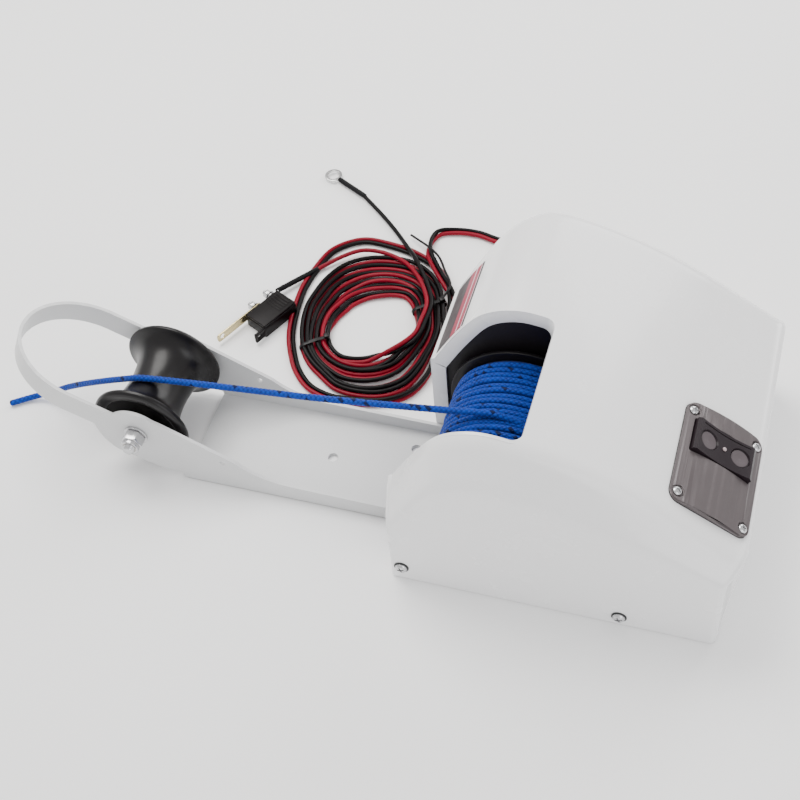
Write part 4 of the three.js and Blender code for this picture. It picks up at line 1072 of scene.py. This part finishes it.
def build_cover():
    shell = cover_shell()
    boolean(shell, prism("mouth", mouth_outline(), -10, 260))
    boolean(shell, placed(block("window", -30.2, 30.2, ROCKER_Y - 17, ROCKER_Y + 17, -20, 20), PANEL_FRAME))
    drilled(shell, 9.3, 40, 150, 200, GLAND_AXIS)
    for x, z, side in COVER_SCREWS:
        drilled(shell, 2.8, 24, wall_y(x, side) - 8, wall_y(x, side) + 8, at(x, 0, z, TO_PLUS_Y))
    for x, y in PANEL_SCREWS:
        drilled(shell, 2.3, 20, -10, 10, PANEL_FRAME @ at(x, y, 0))
    shell.data.shade_smooth()
    shell.data.set_sharp_from_angle(angle=math.radians(40))
    dress(joined("cover_moulding", [shell, mouth_lip()]), "cover", "cover_plastic", "housing_cover")

    for number, (x, z, side) in enumerate(COVER_SCREWS, 1):
        name = f"cover_fixing_{number}"
        y, turn = wall_y(x, side), TO_PLUS_Y if side > 0 else TO_MINUS_Y
        head = placed(phillips_head(name, 5, 3.0, 2.5, 12), at(x, y + side * 0.75, z, turn))
        washer = placed(ring("washer", 2.9, 6.3, 0.02, 0.7, 40, 0.25), at(x, y, z, turn))
        piece = joined(name, [painted(head, "stainless"), painted(washer, "rubber")])
        dress(piece, None, "stainless", f"cover_screw_{number}")


def build_label():
    """A printed film on the bow slope, between the mouth and the starboard edge."""
    track = np.array([p for p in CROWN_LINE if -78.6 < p[0] < -54])
    slope = unit(np.gradient(track, axis=0))
    rows = [54.0, *np.linspace(56, 126, 12), 128.0]
    points = [(x - slope_z * lift, y, z + slope_x * lift) for lift in (0.05, 0.4)
              for (x, z), (slope_x, slope_z) in zip(track, slope) for y in rows]
    a, b = len(track), len(rows)
    sheet = grid(a, b, loop_columns=False)
    border = [i * b for i in range(a)] + [(a - 1) * b + j for j in range(1, b)]
    border += [i * b + b - 1 for i in range(a - 2, -1, -1)] + list(range(b - 2, 0, -1))
    faces = sheet + [[corner + a * b for corner in face] for face in sheet]
    faces += [(i, j, j + a * b, i + a * b) for i, j in zip(border, border[1:] + border[:1])]
    film = softened(new_mesh("label_film", points, faces), 0.12, 50, 1)
    dress(film, "label", "label_film", "label_plate")


# ---- switch panel

PANEL_HALF_X, PANEL_HALF_Y, PANEL_EDGE, PANEL_RISE = 36, 47, 2, 4
PAD_X = 14.6  # the rocker's pads, from its middle
CUP_HALF, CUP_RISE, CUP_POWER = 23.5, 2.3, 1.8  # the rocker's hollow face


def arch_z(x):
    return PANEL_EDGE + PANEL_RISE * (1 - (x / PANEL_HALF_X) ** 2)


def arched_normals(obj):
    """Gives the corners that lie on the panel's arch the arch's own normals."""
    mesh = obj.data
    normals = [Vector(corner.vector) for corner in mesh.corner_normals]
    for loop in mesh.loops:
        x, _, z = mesh.vertices[loop.vertex_index].co / MM
        if abs(z - arch_z(x)) < 0.04:
            normals[loop.index] = Vector((2 * PANEL_RISE * x / PANEL_HALF_X ** 2, 0, 1)).normalized()
    mesh.normals_split_custom_set(normals)


def build_panel():
    w, h = PANEL_HALF_X, PANEL_HALF_Y
    arch = [(w, 0.1), (-w, 0.1)] + [(x, arch_z(x)) for x in np.linspace(-w, w, 49)]
    slab = placed(prism("slab", arch, -h, h), TO_MINUS_Y)
    boolean(slab, prism("corners", rounded_box(w, h, 9, 10), -1, 20), "INTERSECT")
    boolean(slab, placed(prism("opening", rounded_box(28.5, 15.8, 1.5, 4), -9, 20), at(0, ROCKER_Y, 0)))
    for x, y in PANEL_SCREWS:
        drilled(slab, 2.4, 20, -5, 12, at(x, y, 0))
        drilled(slab, 5.2, 32, 1.8, 12, at(x, y, 0))
    softened(slab, 0.8, 35, 3)
    gasket = softened(prism("gasket", rounded_box(w + 0.5, h + 0.5, 9.3, 10), -0.6, 0.6), 0.25, 50, 1)
    panel = joined("panel_plate", [painted(slab, "panel"), painted(gasket, "rubber")])
    arched_normals(panel)
    dress(placed(panel, PANEL_FRAME), None, "panel_paint", "switch_panel")

    for number, (x, y) in enumerate(PANEL_SCREWS, 1):
        head = phillips_head(f"panel_fixing_{number}", 3.9, 2.4, 2, 10)
        placed(head, PANEL_FRAME @ at(x, y, 1.9, Matrix.Rotation(0.7 * number, 4, "Z")))
        dress(head, "stainless", "stainless", f"panel_screw_{number}")


def build_rocker():
    side = [(-27.4, 0.5), (-12, -1.5), (0, -3), (12, -1.5), (27.4, 0.5), (27.4, 7.2), (24.8, 9.0)]
    side += [(x, 6.4 + CUP_RISE * (abs(x) / CUP_HALF) ** CUP_POWER) for x in np.linspace(22.5, -22.5, 23)]
    side += [(-24.8, 9.0), (-27.4, 7.2)]
    body = placed(prism("body", side, -15, 15), TO_MINUS_Y)
    slope = math.atan(CUP_RISE * CUP_POWER / CUP_HALF * (PAD_X / CUP_HALF) ** (CUP_POWER - 1))
    parts = [body]
    for x in (-PAD_X, PAD_X):
        tilt = Matrix.Rotation(-math.copysign(slope, x), 4, "Y")
        dish = lathe("dish", [(0, -1.5), (7.9, -1.5), (9.5, 1.9), (9.5, 5), (0, 5)], 48, 0.3)
        boolean(body, placed(dish, at(x, 0, 7.4, tilt)))
        pad = lathe("pad", [(0, 0), (7.6, 0), (7.2, 0.5), (3, 0.12), (0, 0.05)], 40, 0.15)
        parts.append(painted(placed(pad, at(x, 0, 5.95, tilt)), "paddle"))
    boolean(body, block("groove", -22, 22, 12.0, 12.8, 5.2, 12))
    painted(softened(body, 0.55, 30, 3, True), "rocker")
    frame_here = PANEL_FRAME @ at(0, ROCKER_Y, 0)
    dress(placed(joined("rocker_button", parts), frame_here), None, "rocker_plastic", "rocker_switch",
          body="rocker")
    lens = lathe("lens_dome", [(0, 6.3), (1.7, 6.3), (1.7, 7.2), (1.0, 7.7), (0, 7.9)], 28, 0.4)
    dress(placed(lens, frame_here), "lens", "lens_plastic", "indicator_lens", body="rocker")


# ---- davit bracket

BRACKET_HALF, SHEET = 49, 3
BRACKET_INNER = BRACKET_HALF - SHEET
HOOP_BEND, HOOP_REACH, HOOP_ROOT, HOOP_HEIGHT, HOOP_RISE = 28.0, 64.0, -27.0, 24, math.atan(0.45)
DECK_HOLES = ((-163, 0), (-94, -26), (-94, 26))
AXLE = at(-320, 0, 51, TO_PLUS_Y)


def rounded_edges(obj, y_from_middle, z, width):
    """Rounds the long edges that lie at this height and this far from the middle."""
    def chosen(edge):
        ends = [v.co / MM for v in edge.verts]
        return all(abs(abs(p.y) - y_from_middle) < 0.01 and abs(p.z - z) < 0.01 for p in ends)

    with editing(obj.data) as bm:
        bmesh.ops.bevel(bm, geom=[e for e in bm.edges if chosen(e)], offset=width * MM, offset_type="OFFSET",
                        segments=5, profile=0.5, affect="EDGES", clamp_overlap=True)
    obj.data.update()


def bend(a, b, c):
    """Twelve points along a curve from a, without a itself, to c, pulled towards b."""
    a, b, c = np.array(a), np.array(b), np.array(c)
    return [tuple(quadratic(a, b, c, k / 12)) for k in range(1, 13)]


def wall_outline():
    out = [(-69.0, 0.0), (-69.0, 15.0), (-184.0, 17.5)]
    out += bend((-184, 17.5), (-214, 18.5), (-232, 36))
    out.append((-294.0, 68.5))
    for k in range(25):
        dx, dz = polar(27.5, 50 + 3.75 * k)
        out.append((-320 + dx, 51 + dz))
    out.append((-359.0, 57.0))
    out += bend((-359, 57), (-358, 36), (-345, 24))
    out += [(-303.0, 7.0), (-284.0, 7.0), (-284.0, 0.0)]
    return filleted(out, 2.5, 3, True)


def hoop_band():
    lines = []
    for half, reach in ((BRACKET_HALF, HOOP_REACH), (BRACKET_INNER, HOOP_REACH - SHEET)):
        turns = [math.radians(-90 + 180 * k / 72) for k in range(73)]
        arc = [(HOOP_BEND + reach * math.cos(a), half * math.sin(a)) for a in turns]
        lines.append([(HOOP_ROOT, -half), (0.0, -half), *arc, (0.0, half), (HOOP_ROOT, half)])
    forward = np.array([-math.cos(HOOP_RISE), 0, math.sin(HOOP_RISE)])
    up = np.array([math.sin(HOOP_RISE), 0, math.cos(HOOP_RISE)])
    sections = []
    for outer, inner in zip(*lines):
        corners = ((*outer, 0), (*outer, HOOP_HEIGHT), (*inner, HOOP_HEIGHT), (*inner, 0))
        sections.append([np.array([-360.0, v, 55.0]) + forward * u + up * w for u, v, w in corners])
    return strip("hoop", sections)


def build_bracket():
    bracket = block("davit_bracket_sheet", -284, 176, -BRACKET_HALF, BRACKET_HALF, 0, SHEET)
    for low, high in ((BRACKET_INNER, BRACKET_HALF), (-BRACKET_HALF, -BRACKET_INNER)):
        boolean(bracket, placed(prism("wall", wall_outline(), low, high), TO_MINUS_Y), "UNION")
    boolean(bracket, hoop_band(), "UNION")
    for x, y in DECK_HOLES:
        drilled(bracket, 4.5, 40, -2, 5, at(x, y, 0))
    drilled(bracket, 5.3, 40, -60, 60, AXLE)
    drilled(bracket, 2.6, 24, -60, 60, at(-244, 0, 33, TO_PLUS_Y))
    rounded_edges(bracket, BRACKET_INNER, SHEET, 2.2)
    rounded_edges(bracket, BRACKET_HALF, 0, 2.8)
    softened(bracket, 0.55, weighted=True)
    dress(bracket, "bracket", "bracket_paint", "davit_bracket")


# ---- bow roller and its axle

def build_roller():
    half = [(26 + 17 * (0.4 * t ** 2 + 0.6 * t ** 8), 36.2 * t) for t in np.linspace(1, 0, 34)]
    lip = [(32.5, 37.5), (34.0, 40.4), (35.5, 41), (39.3, 41), (41.4, 40.3), (42.7, 38.8), (43, 37.4)]
    side = [(5.4, 41), (12, 41), (14, 37.5)] + lip + half
    roller = lathe("roller_moulding", side + [(r, -y) for r, y in side[::-1][1:]], 128, 0.25, 2)
    dress(placed(roller, AXLE), "roller", "roller_plastic", "bow_roller", body="roller")

    for name, low, high in (("port", -45.7, -41.3), ("starboard", 41.3, 45.7)):
        spacer = placed(ring(f"spacer_{name}", 5.3, 9.5, low, high, 48, 0.4), AXLE)
        dress(spacer, "nylon", "nylon", f"roller_spacer_{name}")

    shank = lathe("shank", [(0, -44.5), (5, -44.5), (5, 49.5), (0, 49.5)], 40, 0.2)
    parts = [threaded("rod", 5, -68.5, -44, 1.25), shank, hex_nut("head", 9.8, 0, 49.3, 55.7)]
    dress(placed(joined("axle_bolt", parts), AXLE), "stainless", "stainless", "roller_axle_bolt")

    washer = placed(ring("axle_flat_washer", 5.3, 10.5, -51.3, -49.2, 56, 0.35), AXLE)
    dress(washer, "stainless", "stainless", "axle_washer")

    parts = [painted(hex_nut("nut", 9.9, 5.1, -61.0, -51.5), "stainless"),
             painted(ring("collar", 5.6, 7.8, -64.6, -60.7, 48, 0.7), "stainless"),
             painted(ring("insert", 5.0, 5.8, -64.1, -60.7, 48, 0.2), "nylon")]
    dress(placed(joined("axle_stop_nut", parts), AXLE), None, "stainless", "axle_lock_nut")


# ---- drum and winding

DRUM_AXIS = at(0, 0, 70, TO_PLUS_Y)
FLANGE_PORT, FLANGE_STARBOARD = -67.4, 42.4  # the ends of the winding, just off the drum's flanges
WINDING_R, WINDING_PITCH, WINDING_STEPS = 2.62, 5.42, 128


def build_drum():
    profile = [(8.3, -71), (64, -71), (64, -68), (38, -68), (38, 43), (64, 43), (64, 46), (35, 46), (35, -66),
               (12, -66), (12, 46), (8.3, 46)]
    drum = placed(lathe("drum_moulding", profile, 144, 0.7, 3), DRUM_AXIS)
    dress(drum, "drum", "drum_plastic", "rope_drum", body="drum")

    turns = (FLANGE_STARBOARD - FLANGE_PORT - 2 * WINDING_R) / WINDING_PITCH
    line = []
    for k in range(int(turns * WINDING_STEPS) + 1):
        wound = k / WINDING_STEPS
        angle = 2 * math.pi * wound + math.radians(118)
        wander = (0.5 * math.sin(wound * 2.9 + 1.3 * math.sin(angle))
                  + 0.35 * math.sin(3 * angle + wound * 5.1))
        height = (57.1 + 0.55 * math.sin(wound * 3.7 + 2 * math.sin(angle + 1))
                  + 0.3 * math.sin(5 * angle + wound))
        y = FLANGE_PORT + WINDING_R + WINDING_PITCH * wound + wander * 0.55
        line.append((height * math.sin(angle), y, 70 + height * math.cos(angle)))
    rope = tube("rope_winding", np.array(line), WINDING_R, 12)
    # a cylinder under the wound turns stands for the rope beneath them; its darker blue is painted shade in
    # the gaps between the turns
    core = placed(ring("core", 38.3, 56, -67.6, 42.6, 96, 1.0), DRUM_AXIS)
    core.data.uv_layers.new(name="run")
    winding = joined("rope_winding", [painted(rope, "rope"), painted(core, "rope_shade")])
    dress(winding, None, "rope_fibre", "wound_rope", body="drum")


# ---- gland

def build_gland():
    profile = [(5.4, 165), (9, 165), (9, 173.2), (12, 173.2), (12, 176.6), (10.6, 178.0)]
    for k in range(6):
        r, y = 9.4 - 0.52 * k, 178.6 + 3.1 * k
        profile += [(r - 1.1, y), (r - 1.1, y + 0.9), (r, y + 1.3), (r, y + 2.5)]
    profile += [(5.9, 198.0), (5.2, 198.0)]
    gland = placed(lathe("gland_boot", profile, 48, 0.3, 2), GLAND_AXIS)
    dress(gland, "rubber", "gland_rubber", "cable_gland")


# ---- pieces kept from the frame, and the floor

KEPT = {
    "frame": ["base_pan", "side_plate_port", "side_plate_starboard", "gear_plate_outer"],
    "rocker": ["switch_body"],
    "steel": ["gear_plate_post_1", "gear_plate_post_2", "gear_plate_post_3", "drum_shaft", "drum_gear",
              "idler_gear", "idler_shaft", "motor_pinion"],
    "bronze": ["shaft_bush_port", "shaft_bush_starboard", "shaft_bush_outer"],
    "motor": ["motor_can"],
    "relay": ["motor_end_cap", "up_relay", "down_relay"],
    "copper": ["motor_armature"],
    "board": ["control_board"],
}
FLOOR_HALF, FLOOR_Z = 6.0, -0.0006  # metres


def finish_kept():
    for material, names in KEPT.items():
        for name in names:
            node = frame["nodes"][name]
            if not node.data.materials:
                node.data.materials.append(M[material])
            for slot in node.material_slots:
                slot.link = "OBJECT"
                slot.material = M[material]


def build_floor():
    mesh = bpy.data.meshes.new("floor")
    corners = rectangle(-FLOOR_HALF, FLOOR_HALF, -FLOOR_HALF, FLOOR_HALF)
    mesh.from_pydata([(x, y, FLOOR_Z) for x, y in corners], [], [(0, 1, 2, 3)])
    s = Shader("floor_card")
    mesh.materials.append(s.set(Base_Color=s.mix(s.noise(3.0), (0.95, 0.95, 0.95), (0.965, 0.965, 0.965)),
                                Roughness=0.85, Specular_IOR_Level=0.2))
    link("floor", mesh)


build_cover()
build_label()
build_panel()
build_rocker()
build_bracket()
build_roller()
build_drum()
build_gland()
finish_kept()
build_floor()
build_studio()
